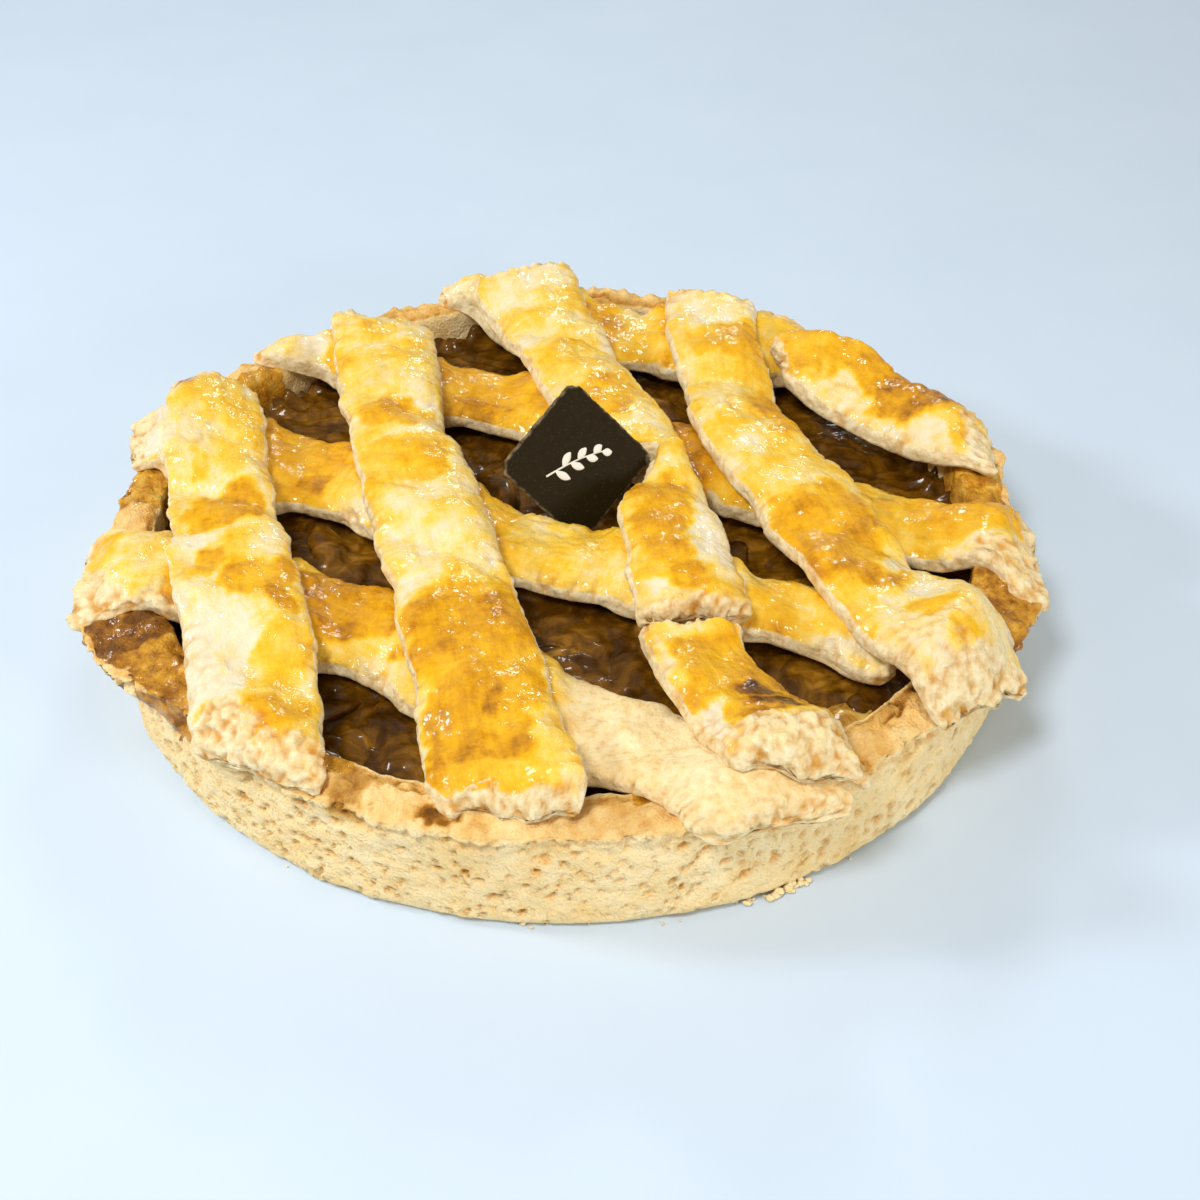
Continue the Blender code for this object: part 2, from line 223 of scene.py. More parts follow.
TOP_STRIPS = {
    "top_strip_1": {
        "line": [
            (-103, 43, 27), (-97, 14, 28), (-90, -13, 28), (-83, -39, 31),
            (-75, -64, 32), (-71, -83, 31), (-67, -103, 30),
        ],
        "slants": (0.1, -0.8),
        "baked": 0.28,
        "patches": [
            (-99, -79, -28, -7, 0.84), (-93, -83, -46, -36, 0.66), (-81, -66, -54, -38, 0.68),
            (-71, -64, -59, -51, 0.9), (-91, -72, -90, -54, 0.0), (-70, -58, -81, -62, 0.5),
            (-73, -58, -101, -85, 0.74), (-116, -108, 34, 44, 1.0), (-101, -94, -1, 7, 0.5),
            (-104, -86, -37, -29, 0.08), (-96, -84, 22, 36, 0.46),
        ],
        "crumbly": [(-86, -66, -112, -89, 0.9), (-70, -50, -112, -97, 0.8), (-92, -76, -86, -68, 0.3)],
    },
    "top_strip_2": {
        "line": [
            (-59, 87, 33), (-56, 66, 31), (-51, 43, 30), (-47, 22, 28), (-40, -2, 30),
            (-33, -26, 30), (-26, -53, 31), (-20, -74, 32), (-16, -92, 33), (-10, -117, 34),
        ],
        "slants": (0.1, -0.3),
        "baked": 0.26,
        "patches": [
            (-63, -52, 66, 79, 0.46), (-56, -44, 54, 66, 0.46), (-58, -38, 19, 34, 0.7),
            (-56, -30, -9, 13, 0.58), (-50, -18, -44, -12, 0.2), (-37, -4, -114, -46, 0.80),
            (-38, -28, -108, -84, 0.02), (-22, -8, -113, -102, 0.98), (-16, -12, -95, -90, 1.1),
            (-29, -14, -66, -52, 0.84), (-30, 2, -122, -106, 0.6),
        ],
        "crumbly": [(-36, -2, -126, -113, 0.4)],
    },
    "top_strip_3_back": {
        "line": [
            (-16, 110, 36), (-10, 92, 31), (-2, 73, 30), (5, 51, 29), (13, 30, 28),
            (19, 14, 27), (24.5, -10, 25), (28.5, -27, 27), (30, -42, 29), (32, -57, 28),
        ],
        "slants": (0.0, -0.13),
        "broken_end": "last",
        "tear": (8.5, -14.0, 16.0),
        "baked": 0.34,
        "patches": [
            (-5, 10, 50, 71, 0.48), (2, 21, 22, 46, 0.7), (17, 33, -47, -3, 0.80),
            (26, 34, -51, -38, 0.8), (-22, -4, 88, 112, 0.12), (34, 44, -50, -10, 0.05),
        ],
    },
    "top_strip_3_front": {
        "line": [(30.5, -58.6, 24), (35, -74, 26), (43, -89, 29), (52.5, -110, 32)],
        "slants": (-0.3, -0.43),
        "broken_end": "first",
        "baked": 0.4,
        "patches": [
            (27, 55, -97, -62, 0.74), (39, 52, -86, -82, 1.3), (42, 54, -92, -88, 1.25),
            (41, 49, -97, -94, 1.1), (31, 37, -106, -90, 0.04), (34, 62, -112, -101, 0.3),
        ],
        "crumbly": [(34, 72, -118, -98, 0.9), (30, 36, -104, -86, 0.5)],
    },
    "top_strip_4": {
        "line": [
            (44, 98, 31), (44, 76, 28), (47, 56, 27), (48, 37, 28), (53, 17, 29),
            (61, 0, 30), (68, -18, 29), (76, -39, 28), (85, -56, 31), (100.5, -79, 35),
        ],
        "slants": (-0.4, 0.0),
        "baked": 0.32,
        "patches": [
            (30, 60, 80, 102, 0.16), (44, 58, 70, 77, 0.9), (36, 56, 61, 78, 0.6),
            (51, 61, 22, 46, 0.88), (59, 67, 14, 26, 0.62), (53, 80, -46, -9, 0.74),
            (69, 86, -48, -43, 0.92), (74, 108, -82, -50, 0.14), (84, 98, -64, -58, 0.6),
            (88, 99, -73, -69, 0.56),
        ],
        "ragged": 1.8,
        "crumbly": [(84, 122, -102, -70, 0.6), (78, 96, -96, -62, 0.5)],
    },
    "top_strip_5": {
        "line": [
            (62.5, 69, 16), (72, 63.5, 22), (84, 54, 25), (95, 43.5, 25), (105, 34, 26), (120, 20.5, 28),
        ],
        "slants": (0.8, 0.6),
        "baked": 0.4,
        "patches": [
            (64, 84, 58, 78, 0.62), (76, 104, 46, 68, 0.74), (90, 116, 34, 58, 0.9),
            (66, 84, 40, 54, 0.15), (86, 106, 12, 32, 0.12), (112, 126, 6, 30, 0.08),
        ],
        "crumbly": [(112, 128, 0, 46, 0.7)],
    },
}

# Syrup on the case as (direction, half span, inner radius, outer radius, how wet, how amber), and
# browned spots on its rim as (direction, half width, inner radius, outer radius, how baked)
SYRUP_FILMS = [
    (201.0, 14.0, 100.0, 128.0, 1.3, 0.27), (217.0, 10.0, 108.0, 124.0, 1.3, 0.50),
    (172.0, 11.0, 106.0, 124.0, 1.0, 0.62), (337.0, 12.0, 106.0, 128.0, 1.1, 0.50),
    (2.0, 12.0, 106.0, 122.0, 0.9, 0.55), (44.0, 12.0, 106.0, 114.0, 0.7, 0.5),
    (150.0, 9.0, 106.0, 115.0, 0.8, 0.6), (282.0, 5.0, 106.0, 113.0, 0.8, 0.5),
    (243.0, 4.0, 108.0, 115.0, 0.7, 0.6),
]
RIM_SPOTS = [
    (257.0, 4.0, 115.5, 120.0, 1.1), (246.5, 3.5, 111.0, 121.0, 0.8), (245.0, 5.0, 108.0, 114.0, 0.6),
    (275.0, 5.0, 108.0, 114.0, 0.7), (291.0, 6.0, 115.0, 120.0, 0.62), (60.0, 5.0, 112.0, 119.0, 0.7),
    (120.0, 6.0, 111.0, 119.0, 0.6), (312.0, 6.0, 108.0, 116.0, 0.6), (90.0, 8.0, 110.0, 116.0, 0.6),
]


def smooth_step(low, high, value):
    share = np.clip((value - low) / (high - low), 0.0, 1.0)
    return share * share * (3 - 2 * share)


def as_points(x, y, z):
    """One array of points from arrays or numbers for their three coordinates."""
    return np.stack(np.broadcast_arrays(x, y, z), axis=-1)


def scramble(cells, seed):
    """A repeatable random whole number for each cell of a grid."""
    whole = cells.astype(np.int64).astype(np.uint32)
    value = whole[..., 0] * np.uint32(73856093)
    value ^= whole[..., 1] * np.uint32(19349663)
    value ^= whole[..., 2] * np.uint32(83492791)
    value ^= np.uint32((seed + 1) * 2654435761 & 0xFFFFFFFF)
    for shift, factor in ((16, 0x7FEB352D), (15, 0x846CA68B)):
        value ^= value >> np.uint32(shift)
        value *= np.uint32(factor)
    return value ^ (value >> np.uint32(16))


def noise(points, size, seed):
    """Smooth random values of about -1 to 1 that change over the given size."""
    scaled = points / size
    base = np.floor(scaled)
    part = scaled - base
    fade = part ** 3 * (part * (part * 6 - 15) + 10)
    total = np.zeros(points.shape[:-1])
    for corner in product((0, 1), repeat=3):
        value = scramble(base + corner, seed)
        slopes = [((value >> np.uint32(8 * k)) & np.uint32(255)) / 127.5 - 1 for k in range(3)]
        gradient = np.stack(slopes, axis=-1)
        weight = np.prod(np.where(np.array(corner) == 1, fade, 1 - fade), axis=-1)
        total += weight * (gradient * (part - corner)).sum(axis=-1)
    return 1.5 * total


def rough(points, size, seed, octaves=3):
    """Noise with finer noise added to it."""
    return sum(0.5 ** k * noise(points, size * 0.5 ** k, seed + 31 * k) for k in range(octaves))


def crumbs_at(points, size, seed):
    """Distance to the nearest and second nearest of scattered centres, and the nearest's number."""
    scaled = points / size
    base = np.floor(scaled)
    nearest = np.full(points.shape[:-1], 9.0)
    second = nearest.copy()
    number = np.zeros(points.shape[:-1])
    for offset in product((-1, 0, 1), repeat=3):
        value = scramble(base + offset, seed)
        spots = [((value >> np.uint32(8 * k)) & np.uint32(255)) / 255 for k in range(3)]
        away = np.linalg.norm(base + offset + np.stack(spots, axis=-1) - scaled, axis=-1)
        closer = away < nearest
        second = np.where(closer, nearest, np.minimum(second, away))
        number = np.where(closer, (value >> np.uint32(24)) / 255, number)
        nearest = np.where(closer, away, nearest)
    return nearest, second, number


def soft_max(a, b, blend):
    overlap = np.maximum(blend - np.abs(a - b), 0.0) / blend
    return np.maximum(a, b) + overlap * overlap * blend / 4


def filling_top(radius):
    share = np.minimum(radius / INNER_RADIUS, 1.0)
    return FILLING_EDGE + FILLING_MOUND * (1 - share * share)


def humps(places, angle):
    """The sum of smooth humps at the given (direction, half span, size), in each direction."""
    total = 0.0
    for direction, half_span, size in places:
        turn = np.abs(np.mod(angle - direction + math.pi, FULL_TURN) - math.pi) / half_span
        total = total + size * (1 + np.cos(math.pi * np.minimum(turn, 1.0))) / 2
    return total


def rim_top(radius, angle):
    offset = np.abs(radius - RIM_CREST_RADIUS)
    flank = np.maximum(offset - RIM_HALF_WIDTH, 0.0)
    crest = RIM_HEIGHT + RIM_RISE * np.sin(angle) + humps(SWELLS, angle)
    return crest - RIM_ARCH * (offset ** 2 - flank ** 2)


def bed(x, y):
    radius = np.hypot(x, y)
    return soft_max(filling_top(radius), rim_top(radius, np.arctan2(y, x)), BED_BLEND)


def smooth_route(knots, spacing):
    """Evenly spaced points on a Catmull-Rom curve through the knots, each (x, y, width)."""
    knots = np.array(knots, float)
    knots = np.vstack([2 * knots[0] - knots[1], knots, 2 * knots[-1] - knots[-2]])
    share = np.linspace(0, 1, 40, endpoint=False)[:, None]
    pieces = []
    for before, start, end, after in zip(knots, knots[1:], knots[2:], knots[3:]):
        pieces.append(0.5 * (
            2 * start
            + (end - before) * share
            + (2 * before - 5 * start + 4 * end - after) * share ** 2
            + (3 * start - before - 3 * end + after) * share ** 3
        ))
    line = np.vstack([*pieces, knots[-2:-1]])
    along = distances_along(line)
    even = np.linspace(0, along[-1], int(round(along[-1] / spacing)) + 1)
    return np.column_stack([np.interp(even, along, line[:, k]) for k in range(3)])


def distances_along(line):
    """How far along a line each of its points lies, seen from above."""
    return np.concatenate([[0], np.cumsum(np.hypot(*np.diff(line[:, :2], axis=0).T))])


def routes_of(strips):
    return [smooth_route(strip["line"], ROUTE_SPACING) for strip in strips.values()]


def distance_from(x, y, routes):
    """Distance across from the nearest route to each point, less half the route's width there."""
    nearest = np.full(x.shape, np.inf)
    for route in routes:
        for start, end in zip(route, route[1:]):
            along = end - start
            share = ((x - start[0]) * along[0] + (y - start[1]) * along[1]) / (along[:2] ** 2).sum()
            share = np.clip(share, 0.0, 1.0)
            away = np.hypot(x - start[0] - share * along[0], y - start[1] - share * along[1])
            nearest = np.minimum(nearest, away - (start[2] + share * along[2]) / 2)
    return nearest


def cross_bed(x, y):
    return bed(x, y) - SINK


def top_bed(x, y):
    nearest = distance_from(x, y, CROSS_ROUTES)
    drape = (1 + np.cos(math.pi * np.clip(nearest / DRAPE_REACH, 0.0, 1.0))) / 2
    past = (np.hypot(x, y) - SAG_END_RADIUS) / (RIM_CREST_RADIUS - SAG_END_RADIUS)
    sag = SAG_CLEARANCE * (1 - np.clip(past, 0.0, 1.0))
    return bed(x, y) - SINK + sag + (CROSS_THICKNESS + CROSS_GAP - sag) * drape


def patch_share(x, y, box, edge):
    """How far each point is inside a box with a soft rounded edge, from 0 to 1."""
    left, right, front, back = box
    half_x, half_y = (right - left) / 2, (back - front) / 2
    across = (x - (left + right) / 2) / (half_x + edge)
    along = (y - (front + back) / 2) / (half_y + edge)
    away = (np.abs(across) ** 3 + np.abs(along) ** 3) ** (1 / 3)
    inner = min(half_x, half_y) / (min(half_x, half_y) + 2 * edge)
    return 1 - smooth_step(inner, 1.0, away)


def normals_of(grid):
    """Outward unit normals of a grid of points whose columns go round."""
    rows = np.gradient(grid, axis=0)
    columns = np.roll(grid, -1, axis=1) - np.roll(grid, 1, axis=1)
    normals = np.cross(rows, columns)
    return normals / np.maximum(np.linalg.norm(normals, axis=-1, keepdims=True), 1e-9)


def tube_faces(rows, columns):
    """Faces of a grid whose columns go round, with a cap at each end, facing out."""
    start = np.arange(rows - 1)[:, None] * columns + np.arange(columns)[None, :]
    beside = np.arange(rows - 1)[:, None] * columns + np.roll(np.arange(columns), -1)[None, :]
    quads = np.stack([start + columns, beside + columns, beside, start], axis=-1)
    faces = quads.reshape(-1, 4).tolist()
    last = (rows - 1) * columns
    faces.append(list(range(columns)))
    faces.append(list(range(last + columns - 1, last - 1, -1)))
    return faces


def joined_tubes(grids):
    """The points and faces of several tubes together."""
    points, faces, count = [], [], 0
    for grid in grids:
        points.append(grid.reshape(-1, 3))
        faces += [[count + i for i in face] for face in tube_faces(*grid.shape[:2])]
        count += len(points[-1])
    return np.vstack(points), faces


def mesh_object(name, points, faces, values, material):
    """A smooth object of points in millimetres, with named numbers or vectors at its points."""
    mesh = bpy.data.meshes.new(name)
    mesh.from_pydata(np.asarray(points) * METRES, [], faces)
    mesh.shade_smooth()
    for label, value in values.items():
        is_vector = np.size(value) == 3 * len(points)
        attribute = mesh.attributes.new(label, "FLOAT_VECTOR" if is_vector else "FLOAT", "POINT")
        flat_value = np.ascontiguousarray(value, np.float32).ravel()
        attribute.data.foreach_set("vector" if is_vector else "value", flat_value)
    mesh.materials.append(material)
    obj = bpy.data.objects.new(name, mesh)
    bpy.context.scene.collection.objects.link(obj)
    return obj


def make_section():
    """A strip's pillowy section as (across, up), in even steps, finer on the top and sides."""
    angle = np.linspace(0, FULL_TURN, 2000, endpoint=False)
    upper = np.sin(angle) > 0
    sine, cosine = np.abs(np.sin(angle)), np.abs(np.cos(angle))
    across = np.sign(np.cos(angle)) * cosine ** np.where(upper, SECTION_ROUNDNESS, UNDER_ROUNDNESS[0])
    up = SECTION_SHOULDER + np.where(
        upper,
        (1 - SECTION_SHOULDER) * sine ** SECTION_ROUNDNESS,
        -SECTION_SHOULDER * sine ** UNDER_ROUNDNESS[1],
    )
    real = np.column_stack([SECTION_HALF_WIDTH * across, TOP_THICKNESS * up])
    steps = np.linalg.norm(np.roll(real, -1, axis=0) - real, axis=1)
    steps *= np.where(up < 0.12, 0.4, 1.0)
    reach = np.concatenate([[0], np.cumsum(steps)])
    even = np.linspace(0, reach[-1], SECTION_STEPS, endpoint=False)
    return [np.interp(even, reach, np.append(part, part[0])) for part in (across, up)]


CROSS_ROUTES = routes_of(CROSS_STRIPS)
TOP_ROUTES = routes_of(TOP_STRIPS)
SECTION_ACROSS, SECTION_UP = make_section()


def stations(length):
    """Places along a strip as (distance, inset, share of the end face), closely spaced at its ends."""
    end = [(0.0, END_ROUNDING, share) for share in (0.03, 0.2, 0.4, 0.6, 0.8)]
    end += [
        (END_ROUNDING * (1 - math.cos(turn)), END_ROUNDING * (1 - math.sin(turn)), 1.0)
        for turn in np.linspace(0, math.pi / 2, 6)
    ]
    even = length - 2 * END_ROUNDING
    middle = np.linspace(END_ROUNDING, length - END_ROUNDING, int(even / ROW_SPACING))[1:-1]
    last = [(length - place, inset, share) for place, inset, share in reversed(end)]
    return np.array(end + [(place, 0.0, 1.0) for place in middle] + last)


def tear_depth(strip, y):
    """How far in a strip's left edge is torn, where its centre line is at each y."""
    deepest, end, depth = strip.get("tear", (0.0, -1.0, 0.0))
    share = np.minimum((y - end) / (deepest - end), (deepest + TEAR_STEP - y) / TEAR_STEP)
    return depth * np.maximum(share, 0.0)


def strip_rows(strip):
    """The strip's cross rows: where each is, which way it faces and how wide it is."""
    route = smooth_route(strip["line"], FINE_SPACING)
    reach = distances_along(route)
    length = reach[-1]
    place, inset, share = stations(length).T

    def at(distance, part):
        return np.interp(distance, reach, route[:, part])

    centre = np.column_stack([at(place, 0), at(place, 1)])
    along = np.column_stack([at(place + 2.0, k) - at(place - 2.0, k) for k in range(2)])
    along /= np.linalg.norm(along, axis=1, keepdims=True)
    ends = {"first": place, "last": length - place}
    to_cut_end = np.min([ends[end] for end in ends if end != strip.get("broken_end")], axis=0)
    rounded = 1 - CORNER_ROUNDING * np.maximum(1 - to_cut_end / CORNER_LENGTH, 0.0) ** 2
    thinned = 1 - END_THINNING * np.maximum(1 - to_cut_end / END_LENGTH, 0.0) ** 2
    slant = strip["slants"][0] * np.maximum(1 - place / SLANT_REACH, 0.0)
    slant += strip["slants"][1] * np.maximum(1 - (length - place) / SLANT_REACH, 0.0)
    return SimpleNamespace(
        place=place[:, None],
        inset=inset[:, None],
        share=share[:, None],
        centre=centre,
        along=along,
        aside=np.column_stack([along[:, 1], -along[:, 0]]),
        half=(at(place, 2) * rounded / 2)[:, None],
        thinned=thinned[:, None],
        slant=slant[:, None],
        torn=tear_depth(strip, centre[:, 1])[:, None],
        to_end=np.minimum(ends["first"], ends["last"])[:, None],
        outward=np.where(place < length / 2, -1.0, 1.0)[:, None],
    )


def places_aside(rows, aside):
    """The x and y of the points that lie the given distances aside of each row's centre."""
    return [rows.centre[:, k:k + 1] + rows.aside[:, k:k + 1] * aside for k in range(2)]


def webbing(x, y, routes):
    """How close each point is to the edge of a strip that lies across, from 0 to 1."""
    return smooth_step(WEB_REACH, 0.0, np.maximum(distance_from(x, y, routes), 0.0)) ** 2


def strip_grid(strip, rows, thickness, underside, crossing, seed):
    """The strip's rings of points before its fine relief, and how far aside each one is."""
    across, up = SECTION_ACROSS[None, :], SECTION_UP[None, :]
    edge_at = as_points(rows.place, np.where(across > 0, 40.0, -40.0), float(seed))
    half = rows.half * (0.965 + EDGE_WAVE * rough(edge_at, 14.0, seed, 4))
    half = (half - rows.inset) * rows.share
    aside = across * (half - rows.torn / 2) - rows.torn / 2
    for spot_x, spot_y, reach, share in strip.get("bites", ()):
        x, y = places_aside(rows, aside)
        aside = aside * (1 - share * smooth_step(1.0, 0.3, np.hypot(x - spot_x, y - spot_y) / reach))
    merged = webbing(*places_aside(rows, aside), crossing)
    aside = aside * (1 + WEB_SPREAD * merged)
    x, y = places_aside(rows, aside)

    ragged = strip.get("ragged", RAGGED_END) * (rough(as_points(x, y, 30.0 + seed), 7.0, seed + 3, 4) - 0.1)
    slide = rows.slant * across * half + rows.outward * smooth_step(9.0, 1.0, rows.to_end) * ragged
    x = x + rows.along[:, :1] * slide
    y = y + rows.along[:, 1:] * slide
    uneven = 0.96 + 0.07 * noise(as_points(x, y, 0.0), 12.0, seed + 9)
    height = thickness * rows.thinned * uneven + SINK
    flattened = 1 - 0.84 * rows.inset / END_ROUNDING
    rise = END_MIDDLE + (up - END_MIDDLE) * flattened * rows.share
    z = underside(x, y) + rise * height + WEB_LIFT * merged * np.maximum(up, 0.0) * rows.share
    for spot_x, spot_y, reach, lift in strip.get("swells", ()):
        z = z + lift * up * smooth_step(1.0, 0.0, np.hypot(x - spot_x, y - spot_y) / reach)
    return as_points(x, y, z), aside


def crumbly_share(strip, rows, flat, seed):
    """How torn and crumbly each point is, at the ends, in the tear and in the strip's boxes."""
    crumbly = 1 - smooth_step(0.0, 5.5, rows.to_end + 3.0 * rough(flat, 6.0, seed + 21, 2))
    crumbly = np.maximum(crumbly, smooth_step(2.0, 8.0, rows.torn) * smooth_step(0.5, 1.0, SECTION_ACROSS))
    uneven = 4.0 * rough(flat, 9.0, seed + 22, 3)
    for *box, level in strip.get("crumbly", ()):
        share = patch_share(flat[..., 0] + uneven, flat[..., 1] - uneven, box, 2.5)
        crumbly = np.maximum(crumbly, level * share)
    return crumbly


def notched(rows, grid, flat, aside, seed):
    """How deep each point lies in the wavy notches across a strip's sides, from 0 to 1."""
    beside = np.where(SECTION_ACROSS > 0, 60.0, -60.0)[None, :]
    notch_at = as_points(rows.place + 0.15 * aside, beside, 0.3 * grid[..., 2])
    notches = 0.8 * smooth_step(0.17, 0.0, np.abs(noise(notch_at, 6.5, seed + 40)))
    notches = notches + 0.3 * smooth_step(0.2, 0.0, np.abs(noise(notch_at, 3.4, seed + 41)))
    return notches * smooth_step(-0.35, 0.35, noise(flat, 15.0, seed + 42))


def creased(grid, flat, seed):
    """How deep each point lies in the faint creases of a strip's top, from 0 to 1."""
    crease_at = grid + 2.5 * noise(grid, 6.0, seed + 55)[..., None]
    creases = smooth_step(0.12, 0.0, np.abs(noise(crease_at, 12.0, seed + 56)))
    return creases * smooth_step(0.1, 0.6, noise(flat, 21.0, seed + 57))


def strip_piece(node, strip, thickness, underside, crossing, seed, material):
    """One baked strip of dough, with its lumps, notched sides, torn ends and baked patches."""
    rows = strip_rows(strip)
    grid, aside = strip_grid(strip, rows, thickness, underside, crossing, seed)
    flat = grid * np.array([1.0, 1.0, 0.0])
    x, y = grid[..., 0], grid[..., 1]
    normal = normals_of(grid)
    side = 1 - smooth_step(0.38, 0.74, normal[..., 2])
    under = smooth_step(0.2, -0.4, normal[..., 2])
    shoulder = smooth_step(0.55, 0.97, np.abs(SECTION_ACROSS))[None, :]
    crumbly = crumbly_share(strip, rows, flat, seed)
    brushed = noise(as_points(0.16 * rows.place, aside, float(seed)), 2.2, seed + 50)
    near, _, _ = crumbs_at(grid, 2.9, seed + 60)
    small_near, _, small_number = crumbs_at(grid, 1.7, seed + 61)
    crumbs = CRUMB_DEPTHS[0] * (0.5 - near) + CRUMB_DEPTHS[1] * (0.5 - small_near)

    lumps = sum(depth * noise(grid, size, seed + step) for depth, size, step in STRIP_LUMPS)
    hollows = -NOTCH_DEPTH * notched(rows, grid, flat, aside, seed) * np.maximum(shoulder, side)
    hollows = hollows - CREASE_DEPTH * creased(grid, flat, seed) * (1 - side)
    pits = (1 - smooth_step(0.1, 0.36, small_near)) * (small_number > 0.55)
    hollows = hollows - STRIP_PIT_DEPTH * pits * np.maximum(0.7 * side, crumbly)
    shift = lumps + hollows + BRUSH_DEPTH * brushed * (1 - side)
    shift = shift + 0.32 * rough(grid, 2.6, seed + 73, 2) * side + crumbs * crumbly
    shift = shift * (1 - 0.8 * under) * np.minimum(rows.share + 0.3, 1.0)
    points = grid + normal * shift[..., None]

    warped = [
        place + PATCH_WARP * rough(flat, 11.0, seed + 80 + k, 5) for k, place in enumerate((x, y))
    ]
    baked = strip["baked"] + 0.30 * rough(flat, 16.0, seed + 82, 5)
    uneven = 0.10 * rough(flat, 7.0, seed + 83, 4)
    for *box, level in strip["patches"]:
        baked = baked + (level + uneven - baked) * patch_share(*warped, box, 1.8) * 0.95
    values = {
        "baked": baked + 0.14 * lumps * (1 - side) + 0.07 * brushed,
        "side": side,
        "torn": crumbly,
        "matte": patch_share(*warped, strip["matte"], 3.0) if "matte" in strip else np.zeros_like(x),
        # Painted shade: how far the colour is darkened in the notches, creases and pits, and in the gaps
        # between crumbs
        "hollow": -hollows - 1.5 * np.minimum(crumbs * crumbly, 0.0),
        "strip_place": as_points(rows.place, aside, 100.0 * seed),
    }
    faces = tube_faces(*grid.shape[:2])
    piece = mesh_object(node + "_baked", points.reshape(-1, 3), faces, values, material)
    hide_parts(node)
    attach(piece, "root")
    return piece


def case_profile():
    """The case's outline as (radius, height), from inside the wall over the rim to the foot."""
    inner = [(INNER_RADIUS - 0.2, z) for z in (8.0, *np.linspace(19.0, 30.0, 9))]
    rim = [(radius, rim_top(radius, 0.0)) for radius in np.linspace(INNER_RADIUS, RIM_RADIUS, 15)]
    lean = (FOOT_RADIUS - RIM_RADIUS) / WALL_TOP
    edge_top = rim[-1][1]
    turn = [
        (RIM_RADIUS + 0.9 * math.sin(a), edge_top - 1.6 * (1 - math.cos(a)))
        for a in np.linspace(0.25, math.pi / 2, 5)
    ]
    wall = [(FOOT_RADIUS - lean * z, z) for z in np.linspace(edge_top - 2.4, FOOT_ROUNDING, 34)]
    foot = [
        (FOOT_RADIUS - lean * FOOT_ROUNDING - FOOT_ROUNDING * (1 - math.cos(a)),
         FOOT_ROUNDING * (1 - math.sin(a)))
        for a in np.linspace(0.2, math.pi / 2, 7)
    ]
    under = [(radius, 0.0) for radius in (108.0, 80.0, 40.0, 2.0)]
    return np.array(inner + rim + turn + wall + foot + under)


def case_rings():
    """The case before its fine relief: radius, angle and height, and points round its inner edge."""
    profile = case_profile()
    turn = np.linspace(0, FULL_TURN, CASE_STEPS, endpoint=False)[None, :]
    radius, z, angle = np.broadcast_arrays(profile[:, :1], profile[:, 1:], turn)
    flat = as_points(INNER_RADIUS * np.cos(angle), INNER_RADIUS * np.sin(angle), 0.0)
    ragged = 1.9 * rough(flat, 13.0, 1, 4)
    beyond = np.maximum(radius - RIM_CREST_RADIUS, 0.0) / (RIM_RADIUS - RIM_CREST_RADIUS)
    lip_height = smooth_step(0.72 * WALL_TOP, 0.98 * WALL_TOP, z)
    spill = humps(LIPS, angle) * (0.86 + 0.14 * rough(flat, 9.0, 2, 3))
    radius = radius + (spill + ragged * lip_height) * lip_height * np.minimum(beyond, 1.0)
    on_rim = smooth_step(WALL_TOP, WALL_TOP + 3.0, z)
    rise = rim_top(radius, angle) - rim_top(radius, 0.0)
    z = z + on_rim * rise * (radius > INNER_RADIUS + 0.5)
    z = z - on_rim * smooth_step(4.0, 9.5, spill) * smooth_step(118.0, 131.0, radius) * 2.6
    return radius, angle, z, flat


def rim_cracks(grid, flat, radius):
    """Thin wandering cracks, 1 in their middle and 0 away from them."""
    cracks_at = as_points(flat[..., 0], flat[..., 1], 1.6 * radius)
    cracks_at = cracks_at + 2.0 * noise(grid, 5.0, 20)[..., None]
    crack = 1 - smooth_step(0.0, 0.07, np.abs(noise(cracks_at, 16.0, 12)))
    return crack * smooth_step(-0.1, 0.3, noise(flat, 12.0, 21))


def wall_pits(grid):
    """The depths of the larger and smaller pits of the wall, in millimetres."""
    near, _, number = crumbs_at(grid + 0.8 * noise(grid, 3.0, 17)[..., None], 4.4, 5)
    small_near, _, small_number = crumbs_at(grid, 2.8, 6)
    pits = WALL_PIT_DEPTH * (1 - smooth_step(0.12, 0.34, near)) * (number > 0.38)
    pits += SMALL_PIT_DEPTH * (1 - smooth_step(0.14, 0.42, small_near)) * (small_number > 0.3)
    return pits * (0.4 + 0.6 * smooth_step(-0.5, 0.2, noise(grid, 20.0, 18)))


def reach_into(radius, angle, direction, inner, outer):
    """Degrees from a direction, and millimetres in from two radii, for each point."""
    turn = np.abs(np.mod(np.degrees(angle) - direction + 180, 360) - 180)
    return turn, np.minimum(radius - inner, outer - radius)


def case_syrup(grid, flat, radius, angle, z, warm):
    """How wet each point of the case is with syrup, and how amber that syrup is."""
    syrup, amber = np.zeros_like(radius), np.full_like(radius, 0.6)
    uneven = 3.0 * rough(grid, 7.0, 14, 3)
    for direction, span, inner, outer, level, shade in SYRUP_FILMS:
        turn, from_edge = reach_into(radius, angle, direction, inner, outer)
        share = level * smooth_step(span, 0.6 * span, turn + 3 * warm)
        share *= smooth_step(-1.0, 1.5, from_edge + uneven)
        amber = np.where(share > syrup, shade, amber)
        syrup = np.maximum(syrup, share)
    run_down = smooth_step(WALL_TOP - 7, WALL_TOP - 2, z + 4.0 * rough(flat, 5.0, 24, 4))
    return syrup * run_down, amber


